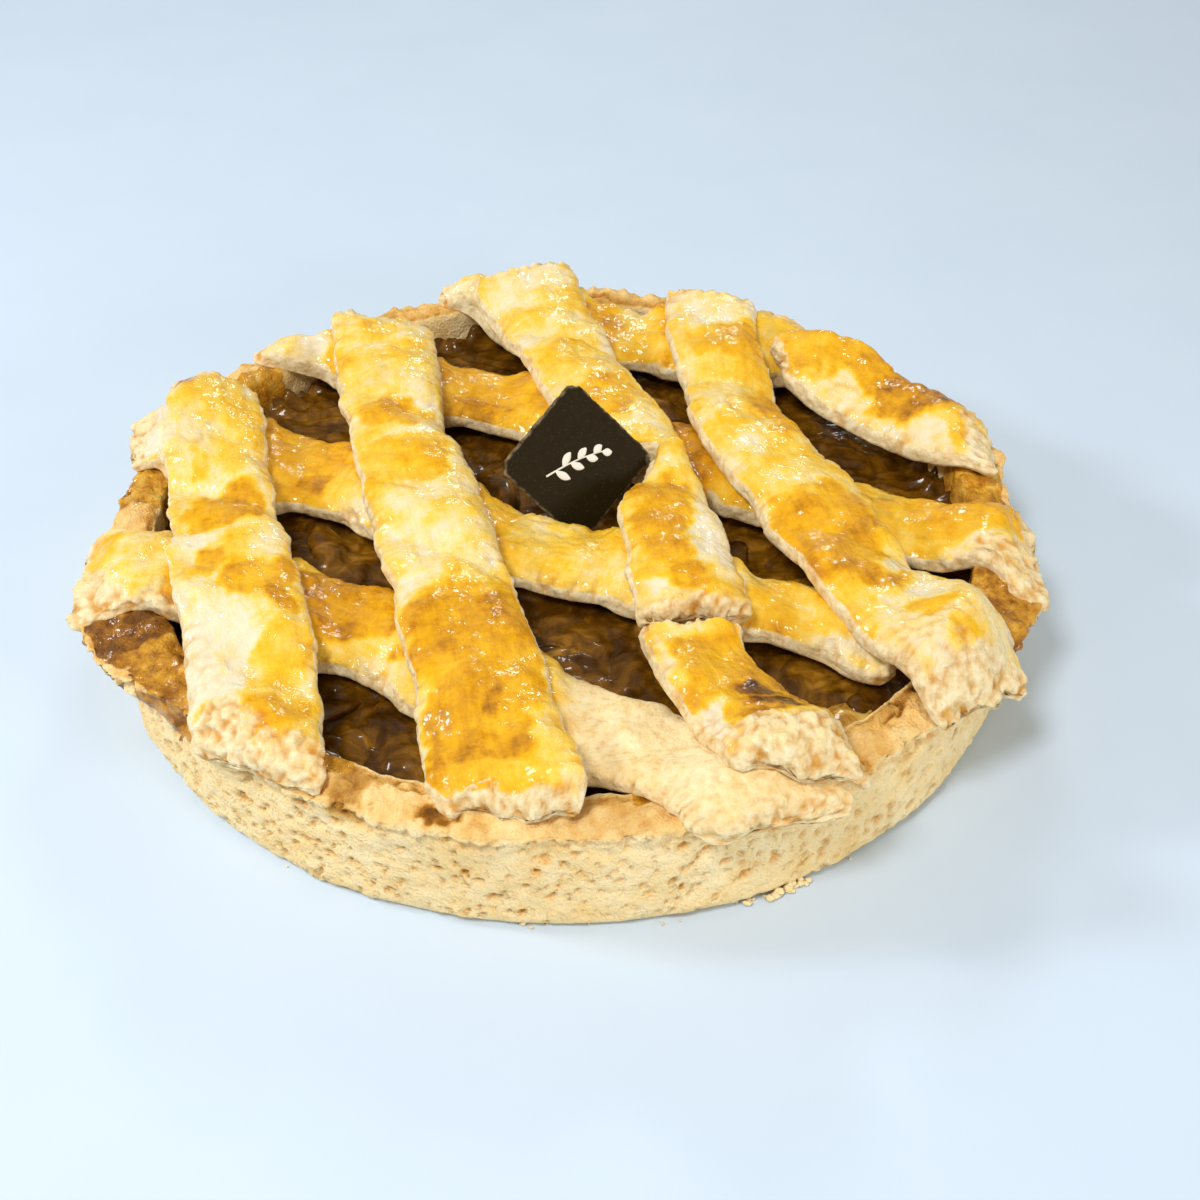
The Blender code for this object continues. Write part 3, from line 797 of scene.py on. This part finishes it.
def make_case(material):
    """The porous wall with its uneven rim, spilled lips and syrup."""
    radius, angle, z, flat = case_rings()
    grid = as_points(radius * np.cos(angle), radius * np.sin(angle), z)
    normal = normals_of(grid)
    wall = smooth_step(0.55, 0.15, normal[..., 2]) * (radius > RIM_CREST_RADIUS)
    under = smooth_step(-0.3, -0.8, normal[..., 2]) * (z < 2.0)
    near_rim = (1 - wall) * (radius > INNER_RADIUS)
    at_edge = np.maximum(near_rim, smooth_step(22.0, 27.0, z) * (radius > INNER_RADIUS))

    pits = wall_pits(grid)
    crack = rim_cracks(grid, flat, radius)
    lumps, _, _ = crumbs_at(grid, 6.5, 10)
    crumbs, _, _ = crumbs_at(grid, 3.0, 19)
    shift = sum(depth * noise(grid, size, seed) for depth, size, seed in CASE_LUMPS)
    shift += 0.4 * rough(grid, 3.4, 9, 3) - pits * wall
    edge_lumps = RIM_LUMP_DEPTH * (0.5 - lumps) + RIM_CRUMB_DEPTH * (0.5 - crumbs)
    shift += at_edge * (edge_lumps + rough(grid, 5.0, 11, 3))
    shift -= RIM_CRACK_DEPTH * crack * near_rim
    shift *= 1 - under
    shift *= np.maximum(smooth_step(19.0, 24.0, z), radius >= INNER_RADIUS)
    points = grid + normal * shift[..., None]

    warm = rough(flat, 22.0, 13, 3)
    syrup, amber = case_syrup(grid, flat, radius, angle, z, warm)
    by_filling = smooth_step(114.5, 110.5, radius + 2.5 * rough(grid, 8.0, 22, 3)) * near_rim
    baked = 0.13 + 0.16 * rough(grid, 13.0, 15, 4) + 0.20 * near_rim + 0.35 * by_filling
    baked = baked + 0.30 * near_rim * smooth_step(-0.1, 0.6, warm)
    # Painted shade: darker in the rim's cracks and in the low places between its lumps
    baked = baked + 0.55 * crack * near_rim + 0.25 * at_edge * np.maximum(lumps - 0.45, 0.0)
    wavy, uneven = 2.0 * rough(flat, 6.0, 16, 3), 2.0 * rough(grid, 5.0, 23, 3)
    for direction, width, inner, outer, level in RIM_SPOTS:
        turn, from_edge = reach_into(radius, angle, direction, inner, outer)
        spot = smooth_step(width, 0.4 * width, turn + wavy) * smooth_step(-1.0, 1.0, from_edge + uneven)
        baked = np.maximum(baked, level * spot * at_edge)
    # Painted shade: how far the colour is darkened in the wall's pits and between the rim's crumbs
    hollow = 0.6 * pits * wall + at_edge * np.maximum(1.2 * (crumbs - 0.45), 0.0)
    values = {"baked": baked, "syrup": syrup, "amber": amber, "hollow": hollow, "porous": wall}
    faces = tube_faces(*grid.shape[:2])
    case = mesh_object("crust_case_baked", points.reshape(-1, 3), faces, values, material)
    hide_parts("crust_case")
    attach(case, "root")


def disc_grid(steps):
    """Even rows and columns of a square, bent to a disc of radius 1."""
    side = np.linspace(-1, 1, steps)
    a, b = np.meshgrid(side, side, indexing="ij")
    wide = np.abs(a) > np.abs(b)
    radius = np.where(wide, a, b)
    divisor = np.where(radius == 0, 1.0, radius)
    angle = np.where(wide, (math.pi / 4) * b / divisor, math.pi / 2 - (math.pi / 4) * a / divisor)
    return radius * np.cos(angle), radius * np.sin(angle)


def filling_height(x, y):
    """The compote's surface: rounded lumps of apple in thick syrup."""
    flat = as_points(x, y, 0.0)
    radius = np.hypot(x, y)
    big, big_next, _ = crumbs_at(flat, 16.0, 100)
    small, small_next, _ = crumbs_at(flat + 3 * noise(flat, 9.0, 101)[..., None], 8.0, 102)
    swirl = noise(flat * np.array([1.0, 2.4, 1.0]) + 5 * noise(flat, 14.0, 103)[..., None], 7.0, 104)
    height = filling_top(radius) - 3.4 + 2.0 * (0.55 - big) + 0.7 * (0.5 - small) + 1.3 * swirl
    height += 4.0 * smooth_step(101.0, 110.0, radius) * smooth_step(-0.3, 0.6, swirl)
    height -= 0.5 * (1 - smooth_step(0.0, 0.2, big_next - big))
    return height - 0.25 * (1 - smooth_step(0.0, 0.2, small_next - small))


def make_filling(material):
    """The compote: an uneven top on a disc, with an upright side and a flat bottom."""
    steps = FILLING_STEPS
    x, y = [(INNER_RADIUS + 0.4) * part for part in disc_grid(steps)]
    points = as_points(x, y, filling_height(x, y)).reshape(-1, 3)
    whole = np.arange(steps * steps).reshape(steps, steps)
    corner = whole[:-1, :-1]
    quads = np.stack([corner, corner + steps, corner + steps + 1, corner + 1], axis=-1)
    faces = quads.reshape(-1, 4).tolist()
    ring = np.concatenate([whole[:-1, 0], whole[-1, :-1], whole[:0:-1, -1], whole[0, :0:-1]])
    low = points[ring] * np.array([1.0, 1.0, 0.0]) + np.array([0.0, 0.0, FILLING_BOTTOM])
    below = steps * steps + np.arange(len(ring))
    side = np.stack([ring, below, np.roll(below, -1), np.roll(ring, -1)], axis=-1)
    faces += side.tolist()
    faces.append(below[::-1].tolist())
    points = np.vstack([points, low])
    pale = 0.5 + 0.5 * noise(points, 15.0, 105)
    filling = mesh_object("apple_filling_cooked", points, faces, {"pale": pale}, material)
    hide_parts("apple_filling")
    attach(filling, "root")


def slice_grid(length, width, thickness, bend, seed):
    """A soft wedge of cooked apple: a crescent with a thick outer and a thin inner edge."""
    along = np.linspace(0.02, math.pi - 0.02, 26)[:, None]
    around = np.linspace(0, FULL_TURN, 18, endpoint=False)[None, :]
    taper = np.sin(along) ** 0.55
    across = np.cos(around) * width / 2 * taper
    up = np.sin(around) * thickness / 2 * taper * (0.62 + 0.38 * np.cos(around))
    turn = (0.5 - along / math.pi) * bend
    arm = length / bend + across
    grid = as_points(arm * np.sin(turn), arm * np.cos(turn) - length / bend, up)
    uneven = 1.6 * noise(grid + 40.0 * seed, 8.0, 120) + 0.6 * noise(grid + 40.0 * seed, 3.5, 121)
    return grid + normals_of(grid) * (uneven * taper)[..., None]


def make_slices(material):
    """Apple slices that show in the lattice's gaps, and more all through the compote."""
    draw = np.random.default_rng(7)
    placed = list(SHOWN_SLICES)
    while len(placed) < len(SHOWN_SLICES) + HIDDEN_SLICES:
        distance = SLICE_REACH * math.sqrt(draw.random())
        angle = FULL_TURN * draw.random()
        x, y = distance * math.cos(angle), distance * math.sin(angle)
        crowded = [math.hypot(x - other[0], y - other[1]) for other in placed]
        if min(crowded) > SLICE_SPACING or draw.random() < 0.02:
            size = draw.uniform(0.8, 1.15) * SLICE_SIZE
            placed.append((x, y, draw.uniform(0, 360), *size, -3.2))
    grids, pale = [], []
    for seed, (x, y, heading, length, width, thickness, raised) in enumerate(placed):
        grid = slice_grid(length, width, thickness, draw.uniform(0.7, 1.5), seed)
        tilt = Euler((draw.uniform(-0.6, 0.6), draw.uniform(-0.2, 0.2), math.radians(heading)))
        base = filling_top(math.hypot(x, y)) - 2.8 + raised
        grids.append(grid @ np.array(tilt.to_matrix()).T + np.array([x, y, base]))
        shade = draw.uniform(0.2, 1.0) + (0.5 if raised > 1 else 0)
        pale.append(np.full(grid.shape[0] * grid.shape[1], shade))
    points, faces = joined_tubes(grids)
    slices = mesh_object("apple_slices", points, faces, {"pale": np.concatenate(pale)}, material)
    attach(slices, "root")


def on_plaque(points, roll):
    """Upright points round the origin, rolled and then leant back and moved to the plaque."""
    turn = Matrix.Rotation(PLAQUE_TURN, 3, "Z") @ Matrix.Rotation(-PLAQUE_LEAN, 3, "X")
    turn = turn @ Matrix.Rotation(roll, 3, "Y")
    return points @ np.array(turn).T + np.array(PLAQUE_CENTRE)


def make_plaque(material):
    """A thin square of chocolate with worn, slightly wavy edges."""
    half, deep, worn = PLAQUE_SIDE / 2, PLAQUE_THICKNESS / 2, PLAQUE_WORN_EDGE
    around = np.linspace(0, FULL_TURN, 240, endpoint=False)[None, :]
    square = 1 / np.maximum(np.abs(np.cos(around)), np.abs(np.sin(around)))
    square = square - 0.10 * smooth_step(1.30, 1.42, square)
    layers = [(share, -deep) for share in (0.02, 0.25, 0.5, 0.75, 0.92)]
    layers += [
        (1 - worn / half * (1 - math.sin(a)), -deep + worn * (1 - math.cos(a)))
        for a in np.linspace(0, math.pi / 2, 5)
    ]
    layers += [(share, -depth) for share, depth in reversed(layers)]
    share, depth = np.array(layers).T[..., None]
    reach = half * share * square
    grid = as_points(reach * np.cos(around), depth, reach * np.sin(around))
    edge = smooth_step(0.9, 1.0, share)
    chip = np.maximum(0.35 * rough(grid, 3.0, 140, 3) * edge, -0.1)
    grid = grid * (1 - np.array([1.0, 0.0, 1.0]) * chip[..., None] / half)
    grid[..., 1] += 0.05 * noise(grid, 6.0, 141)
    values = {"worn": np.broadcast_to(edge, grid.shape[:2])}
    points = on_plaque(grid.reshape(-1, 3), -PLAQUE_ROLL)
    faces = tube_faces(*grid.shape[:2])
    plaque = mesh_object("chocolate_plaque_moulded", points, faces, values, material)
    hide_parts("chocolate_plaque")
    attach(plaque, "root")


def ribbon(route, widths, thickness):
    """A raised rounded stroke along a route of (x, z), on the plaque's front face."""
    ahead = np.gradient(route, axis=0)
    ahead /= np.linalg.norm(ahead, axis=1, keepdims=True)
    angle = np.linspace(FULL_TURN, 0, 10, endpoint=False)[None, :]
    across = np.cos(angle) * widths[:, None] / 2
    high = np.sin(angle) * thickness * np.minimum(widths[:, None], 1.0)
    x = route[:, :1] - ahead[:, 1:] * across
    z = route[:, 1:] + ahead[:, :1] * across
    return as_points(x, -PLAQUE_THICKNESS / 2 - high, z)


def make_sprig(material):
    """A small plain leaf sprig, piped in cream on the plaque."""
    share = np.linspace(0, 1, 30)
    stem = np.column_stack([SPRIG_LENGTH * (share - 0.5), 1.2 * np.sin(2.6 * share) - 0.4])
    strokes = [ribbon(stem, 0.55 * (1.05 - 0.6 * share), 0.2)]
    for number in range(SPRIG_LEAVES):
        root_x = LEAF_SPACING * number - 6.6
        root_z = np.interp(root_x, stem[:, 0], stem[:, 1])
        side = 1 if number % 2 else -1
        angle = side * math.radians(LEAF_ANGLE - 3 * number)
        length = LEAF_LENGTH - 0.35 * number
        leaf = np.column_stack([
            root_x + length * share * math.cos(angle),
            root_z + length * share * math.sin(angle) - side * 0.8 * share ** 2,
        ])
        strokes.append(ribbon(leaf, 0.12 + 2.1 * np.sin(math.pi * share) ** 0.8, 0.16))
    points, faces = joined_tubes(strokes)
    sprig = mesh_object("piped_sprig", on_plaque(points, SPRIG_TILT), faces, {}, material)
    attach(sprig, "root")


def make_crumbs(material):
    """Loose crumbs at the foot of the wall."""
    draw = np.random.default_rng(11)
    spots = [(draw.normal(HEAP_DIRECTION, 2.2), draw.uniform(120.5, 122.5)) for _ in range(HEAPED_CRUMBS)]
    spots += [(draw.uniform(0, 360), draw.uniform(119.5, 122.0)) for _ in range(SINGLE_CRUMBS)]
    turn = np.linspace(0, FULL_TURN, 9, endpoint=False)[None, :]
    rise = np.linspace(0.12, math.pi - 0.12, 7)[:, None]
    ball = as_points(np.sin(rise) * np.cos(turn), np.sin(rise) * np.sin(turn), np.cos(rise))
    grids = []
    for number, (direction, radius) in enumerate(spots):
        size = draw.uniform(0.35, 1.35) if number < HEAPED_CRUMBS else draw.uniform(0.25, 0.75)
        grid = ball * (1 + 0.5 * rough(ball * 4 + 30.0 * number, 3.0, 150, 2))[..., None]
        grid = grid * size * np.array([1.0, draw.uniform(0.6, 1.0), 0.75])
        angle = math.radians(direction)
        place = [radius * math.cos(angle), radius * math.sin(angle), -grid[..., 2].min()]
        grids.append(grid + np.array(place))
    points, faces = joined_tubes(grids)
    crumbs = mesh_object("loose_crumbs", points, faces, {}, material)
    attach(crumbs, "root")


class Field:
    """A number made by shader nodes, which adds, subtracts and multiplies like any number."""

    def __init__(self, tree, socket):
        self.tree = tree
        self.socket = socket

    def joined(self, operation, a, b):
        made = self.tree.nodes.new("ShaderNodeMath")
        made.operation = operation
        put(self.tree, made.inputs[0], a)
        put(self.tree, made.inputs[1], b)
        return Field(self.tree, made.outputs[0])

    def __add__(self, other):
        return self.joined("ADD", self, other)

    def __sub__(self, other):
        return self.joined("SUBTRACT", self, other)

    def __rsub__(self, other):
        return self.joined("SUBTRACT", other, self)

    def __mul__(self, other):
        return self.joined("MULTIPLY", self, other)

    __radd__ = __add__
    __rmul__ = __mul__

    def or_more(self, other):
        return self.joined("MAXIMUM", self, other)

    def clamped(self):
        """The same number, kept from 0 to 1."""
        self.socket.node.use_clamp = True
        return self


def put(tree, socket, value):
    if isinstance(value, Field):
        value = value.socket
    if isinstance(value, bpy.types.NodeSocket):
        tree.links.new(value, socket)
    else:
        socket.default_value = value


def new_material(name):
    material = bpy.data.materials.new(name)
    material.use_nodes = True
    return material, material.node_tree


def finish_material(material, values):
    """Puts each value on the shader's socket of that name."""
    shader = material.node_tree.nodes["Principled BSDF"]
    for name, value in values.items():
        put(material.node_tree, shader.inputs[name], value)
    return material


def spread(value, low, high):
    """The value taken from its low and high ends to 0 and 1."""
    made = value.tree.nodes.new("ShaderNodeMapRange")
    made.interpolation_type = "SMOOTHSTEP"
    put(value.tree, made.inputs["Value"], value)
    made.inputs["From Min"].default_value = low
    made.inputs["From Max"].default_value = high
    return Field(value.tree, made.outputs["Result"])


def value_of(tree, name):
    made = tree.nodes.new("ShaderNodeAttribute")
    made.attribute_name = name
    return Field(tree, made.outputs["Fac"])


def scaled(tree, vector, scale):
    mapping = tree.nodes.new("ShaderNodeMapping")
    mapping.inputs["Scale"].default_value = scale
    tree.links.new(vector, mapping.inputs["Vector"])
    return mapping.outputs["Vector"]


def vector_of(tree, name, scale):
    """A named vector in millimetres, scaled to metres and then by the given scale."""
    made = tree.nodes.new("ShaderNodeAttribute")
    made.attribute_name = name
    return scaled(tree, made.outputs["Vector"], [METRES * part for part in scale])


def place_of(tree, scale=(1.0, 1.0, 1.0)):
    return scaled(tree, tree.nodes.new("ShaderNodeTexCoord").outputs["Object"], scale)


def cloud(tree, size, detail=3.0, roughness=0.55, place=None, distortion=0.0):
    """A noise texture whose features are about the given size in millimetres."""
    made = tree.nodes.new("ShaderNodeTexNoise")
    tree.links.new(place or place_of(tree), made.inputs["Vector"])
    made.inputs["Scale"].default_value = 1 / (size * METRES)
    made.inputs["Detail"].default_value = detail
    made.inputs["Roughness"].default_value = roughness
    made.inputs["Distortion"].default_value = distortion
    return Field(tree, made.outputs["Fac"])


def grains(tree, size):
    """Distance to scattered points about the given size in millimetres apart."""
    made = tree.nodes.new("ShaderNodeTexVoronoi")
    tree.links.new(place_of(tree), made.inputs["Vector"])
    made.inputs["Scale"].default_value = 1 / (size * METRES)
    return Field(tree, made.outputs["Distance"])


def ramp(value, stops):
    made = value.tree.nodes.new("ShaderNodeValToRGB")
    put(value.tree, made.inputs["Fac"], value)
    elements = made.color_ramp.elements
    while len(elements) < len(stops):
        elements.new(0.5)
    for element, (position, colour) in zip(elements, stops):
        element.position = position
        element.color = (*colour, 1.0)
    return made.outputs["Color"]


def mixed(share, a, b, blend_type="MIX"):
    made = share.tree.nodes.new("ShaderNodeMix")
    made.data_type = "RGBA"
    made.blend_type = blend_type
    put(share.tree, made.inputs["Factor"], share)
    for name, colour in (("A", a), ("B", b)):
        is_plain = isinstance(colour, tuple)
        put(share.tree, made.inputs[name], (*colour, 1.0) if is_plain else colour)
    return made.outputs["Result"]


def bump(height, strength, distance, under=None):
    made = height.tree.nodes.new("ShaderNodeBump")
    made.inputs["Strength"].default_value = strength
    made.inputs["Distance"].default_value = distance * METRES
    put(height.tree, made.inputs["Height"], height)
    if under is not None:
        put(height.tree, made.inputs["Normal"], under)
    return made.outputs["Normal"]


def summed(*terms):
    """The sum of (value, factor) pairs, each value taken from its middle of 0.5."""
    return sum((value - 0.5) * factor for value, factor in terms)


GLAZED = [
    (0.0, (0.84, 0.74, 0.54)), (0.12, (0.87, 0.70, 0.34)), (0.26, (0.90, 0.62, 0.11)),
    (0.40, (0.88, 0.52, 0.028)), (0.54, (0.81, 0.42, 0.010)), (0.68, (0.66, 0.30, 0.006)),
    (0.80, (0.46, 0.19, 0.007)), (0.91, (0.22, 0.08, 0.006)), (1.0, (0.09, 0.034, 0.006)),
]
PALE_DOUGH = [
    (0.25, (0.60, 0.40, 0.16)), (0.42, (0.78, 0.61, 0.33)), (0.60, (0.88, 0.76, 0.50)),
    (0.80, (0.96, 0.89, 0.70)),
]
DRY_DOUGH = [(0.30, (0.70, 0.48, 0.21)), (0.48, (0.87, 0.69, 0.38)), (0.70, (0.94, 0.82, 0.55))]
WALL_DOUGH = [
    (0.0, (1.0, 0.82, 0.49)), (0.24, (0.96, 0.69, 0.31)), (0.50, (0.80, 0.48, 0.14)),
    (0.78, (0.40, 0.17, 0.025)), (1.0, (0.14, 0.055, 0.010)),
]
SYRUP = [
    (0.20, (0.16, 0.055, 0.005)), (0.40, (0.38, 0.15, 0.012)), (0.58, (0.66, 0.31, 0.022)),
    (0.74, (0.80, 0.48, 0.07)), (0.90, (0.88, 0.72, 0.36)),
]
COMPOTE = [
    (0.18, (0.035, 0.012, 0.0008)), (0.42, (0.095, 0.036, 0.0015)), (0.64, (0.20, 0.085, 0.004)),
    (0.84, (0.42, 0.20, 0.018)), (1.0, (0.66, 0.42, 0.10)),
]
DOUGH_GLOW = {"Subsurface Radius": (1.0, 0.55, 0.2), "Subsurface Scale": 0.002}


def strip_material(name, warmth):
    """Egg-washed dough: amber where it is baked, pale and matte on its sides and torn ends, with painted
    shade in its hollows.
    """
    material, tree = new_material(name)
    torn, matte = value_of(tree, "torn"), value_of(tree, "matte")
    blotches = cloud(tree, 5.0, 6.0, 0.6)
    specks = cloud(tree, 1.1, 4.0, 0.6)
    streaks = cloud(tree, 1.5, 4.0, 0.6, vector_of(tree, "strip_place", (0.22, 1.0, 1.0)))
    wrinkles = cloud(tree, 1.6, 4.0, 0.6, vector_of(tree, "strip_place", (1.0, 0.3, 1.0)))

    uneven = summed((blotches, 0.52), (streaks, 0.36), (wrinkles, 0.26), (specks, 0.28))
    baked = value_of(tree, "baked") + warmth + uneven
    bare = 0.85 * value_of(tree, "side") + 0.75 * torn + summed((blotches, 0.7), (specks, 0.5))
    bare = spread(bare, 0.34, 0.72)
    colour = mixed(bare, ramp(0.8 * baked, GLAZED), ramp(cloud(tree, 2.6, 6.0, 0.65), PALE_DOUGH))
    colour = mixed(0.85 * matte, colour, ramp(cloud(tree, 2.2, 6.0, 0.65), DRY_DOUGH))
    # Painted shade: the colour is darkened where the hollow value marks notches, creases, pits and gaps
    # between crumbs
    painted_shade = (0.9 * value_of(tree, "hollow")).clamped()
    wet = spread(cloud(tree, 7.0, 4.0), 0.40, 0.54)
    relief = bump(cloud(tree, 2.2, 6.0, 0.62), 0.8, 0.75)
    relief = bump(wrinkles, 0.5, 0.4, relief)
    relief = bump(streaks, 0.35, 0.3, relief)
    return finish_material(material, {
        # The base colour, with the painted shade multiplied in where the dough is hollow
        "Base Color": mixed(painted_shade, colour, (0.78, 0.50, 0.20), "MULTIPLY"),
        "Roughness": 0.36 * bare.or_more(matte) + 0.36 + summed((specks, 0.3)),
        "Coat Weight": (0.82 - (0.35 * bare).or_more(torn).or_more(matte)).clamped() * wet,
        "Coat Roughness": 0.06,
        "Coat IOR": 1.45,
        "Specular IOR Level": 0.08,
        "Subsurface Weight": 0.08,
        "Normal": bump(grains(tree, 0.8), 0.35, 0.22, relief),
        "Coat Normal": bump(cloud(tree, 4.0, 2.5), 0.9, 1.1),
        **DOUGH_GLOW,
    })


def wall_material():
    """Matte porous shortcrust, with baked spots on its rim, amber syrup where it has run, and painted shade
    in its pits and pores.
    """
    material, tree = new_material("wall_crust_baked")
    blotches = cloud(tree, 4.0, 6.0, 0.6)
    specks = cloud(tree, 0.9, 4.0, 0.65)
    baked = value_of(tree, "baked") + summed((blotches, 0.5), (specks, 0.30))
    pores = 1.0 - spread(grains(tree, 1.9), 0.10, 0.50)
    pores = pores * spread(cloud(tree, 4.0, 3.0), 0.40, 0.62) * value_of(tree, "porous")
    # Painted shade: the colour is darkened in the wall's pits and pores and between the rim's crumbs
    deep = (value_of(tree, "hollow") + 0.2 * pores).clamped()
    colour = mixed(deep, ramp(0.85 * baked, WALL_DOUGH), (0.84, 0.60, 0.32), "MULTIPLY")
    film = ramp(value_of(tree, "amber") + summed((cloud(tree, 4.5, 5.0, 0.6), 1.2)), SYRUP)
    wetted = spread(value_of(tree, "syrup") + summed((blotches, 0.6)), 0.30, 0.55)
    relief = bump(cloud(tree, 1.8, 6.0, 0.68), 0.9, 0.9)
    relief = bump(1.0 - pores, 0.6, 0.55, relief)
    return finish_material(material, {
        "Base Color": mixed(wetted, colour, film),
        "Roughness": 0.88 - 0.55 * wetted,
        "Coat Weight": 0.65 * wetted,
        "Coat Roughness": 0.09,
        "Specular IOR Level": 0.08,
        "Subsurface Weight": 0.06,
        "Normal": bump(grains(tree, 0.75), 0.65, 0.38, relief),
        "Coat Normal": bump(cloud(tree, 3.0, 3.0), 0.9, 1.0),
        **DOUGH_GLOW,
    })


def compote_material(name, lift, roughness):
    """Glossy translucent brown apple in syrup."""
    material, tree = new_material(name)
    swirls = spread(cloud(tree, 7.0, 6.0, 0.62, distortion=0.8), 0.25, 0.75)
    fibres = cloud(tree, 1.6, 4.0, 0.55, place_of(tree, (1.0, 2.2, 1.0)), 0.8)
    return finish_material(material, {
        "Base Color": ramp(0.45 * value_of(tree, "pale") + 0.5 * swirls + lift, COMPOTE),
        "Roughness": 0.2 * cloud(tree, 3.0, 3.0) + roughness,
        "Coat Weight": 0.4,
        "Coat Roughness": 0.06,
        "Specular IOR Level": 0.10,
        "Subsurface Weight": 0.25,
        "Subsurface Radius": (1.0, 0.45, 0.12),
        "Subsurface Scale": 0.004,
        "Normal": bump(fibres, 0.4, 0.35),
    })


def chocolate_material():
    """Dark chocolate, paler where its edges are worn."""
    material, tree = new_material("dark_chocolate")
    worn = spread(value_of(tree, "worn") * cloud(tree, 2.0, 4.0), 0.25, 0.75)
    speck = spread(cloud(tree, 0.5, 2.0), 0.62, 0.72)
    colour = mixed(0.6 * speck, (0.018, 0.012, 0.003), (0.07, 0.05, 0.02))
    return finish_material(material, {
        "Base Color": mixed(worn, colour, (0.24, 0.18, 0.11)),
        "Roughness": 0.25 * cloud(tree, 1.5, 4.0) + 0.38,
        "Specular IOR Level": 0.07,
        "Normal": bump(cloud(tree, 0.5, 4.0), 0.3, 0.08),
    })


def cream_material():
    material, tree = new_material("piped_cream")
    return finish_material(material, {
        "Base Color": ramp(
            cloud(tree, 0.8, 3.0), [(0.3, (0.78, 0.76, 0.70)), (0.7, (0.90, 0.89, 0.85))],
        ),
        "Roughness": 0.45,
        "Normal": bump(cloud(tree, 0.4, 2.0), 0.2, 0.05),
    })


def floor_material():
    material, tree = new_material("pale_floor")
    return finish_material(material, {
        "Base Color": ramp(
            cloud(tree, 60.0, 3.0), [(0.3, (0.58, 0.70, 0.87)), (0.7, (0.60, 0.72, 0.89))],
        ),
        "Roughness": 0.7,
    })


# The camera, the floor and the soft studio lights, in metres but for the lens. The lights are
# (name, place, size, power, colour) and all aimed at the tart.
CAMERA_PLACE = (0.00742, -0.35024, 0.28352)
CAMERA_TURN = (math.radians(50.75), math.radians(-0.4), 0.0)
CAMERA_LENS = 47.4
FLOOR_HALF_SIDE = 2.5
LIGHT_TARGET = (0.0, 0.0, 0.03)
LIGHTS = [
    ("key", (-0.35, -0.55, 1.00), 0.30, 7.7, (1.0, 0.97, 0.93)),
    ("left", (-1.0, 0.05, 0.60), 0.20, 5.4, (0.92, 0.96, 1.0)),
    ("right", (0.85, -0.80, 0.40), 0.35, 4.8, (1.0, 0.97, 0.92)),
    ("back", (0.1, 1.1, 0.75), 0.25, 2.6, (0.90, 0.95, 1.0)),
]


def make_floor():
    mesh = bpy.data.meshes.new("floor")
    half = FLOOR_HALF_SIDE
    corners = [(-half, -half, 0), (half, -half, 0), (half, half, 0), (-half, half, 0)]
    mesh.from_pydata(corners, [], [(0, 1, 2, 3)])
    mesh.materials.append(floor_material())
    floor = bpy.data.objects.new("floor", mesh)
    bpy.context.scene.collection.objects.link(floor)


def light_scene():
    world = bpy.data.worlds.new("studio")
    bpy.context.scene.world = world
    world.use_nodes = True
    background = world.node_tree.nodes["Background"]
    background.inputs["Color"].default_value = (1.0, 0.94, 0.77, 1.0)
    background.inputs["Strength"].default_value = 0.42
    for name, place, size, power, colour in LIGHTS:
        data = bpy.data.lights.new(name, "AREA")
        data.shape = "DISK"
        data.size = size
        data.energy = power
        data.color = colour
        lamp = bpy.data.objects.new(name, data)
        bpy.context.scene.collection.objects.link(lamp)
        lamp.location = place
        aim = Vector(LIGHT_TARGET) - Vector(place)
        lamp.rotation_euler = aim.to_track_quat("-Z", "Y").to_euler()


def add_camera():
    data = bpy.data.cameras.new("camera")
    data.sensor_width = 36.0
    data.lens = CAMERA_LENS
    data.clip_start = 0.01
    camera = bpy.data.objects.new("camera", data)
    bpy.context.scene.collection.objects.link(camera)
    camera.location = CAMERA_PLACE
    camera.rotation_euler = CAMERA_TURN
    bpy.context.scene.camera = camera


def make_strips():
    """The four cross strips, spread where they meet the top strips, and the strips over them."""
    crust = strip_material("cross_crust_baked", 0.03)
    for seed, (node, strip) in enumerate(CROSS_STRIPS.items(), start=200):
        piece = strip_piece(node, strip, CROSS_THICKNESS, cross_bed, TOP_ROUTES, seed, crust)
    crust = strip_material("top_crust_baked", 0.0)
    for seed, (node, strip) in enumerate(TOP_STRIPS.items(), start=220):
        piece = strip_piece(node, strip, TOP_THICKNESS, top_bed, [], seed, crust)


def main():
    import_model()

    wall_crust = wall_material()
    make_strips()
    make_case(wall_crust)
    make_filling(compote_material("apple_compote", 0.0, 0.22))
    make_slices(compote_material("apple_slices", 0.02, 0.2))
    make_plaque(chocolate_material())
    make_sprig(cream_material())
    make_crumbs(wall_crust)

    make_floor()
    light_scene()
    add_camera()
    bpy.context.scene.view_settings.view_transform = "Standard"


main()
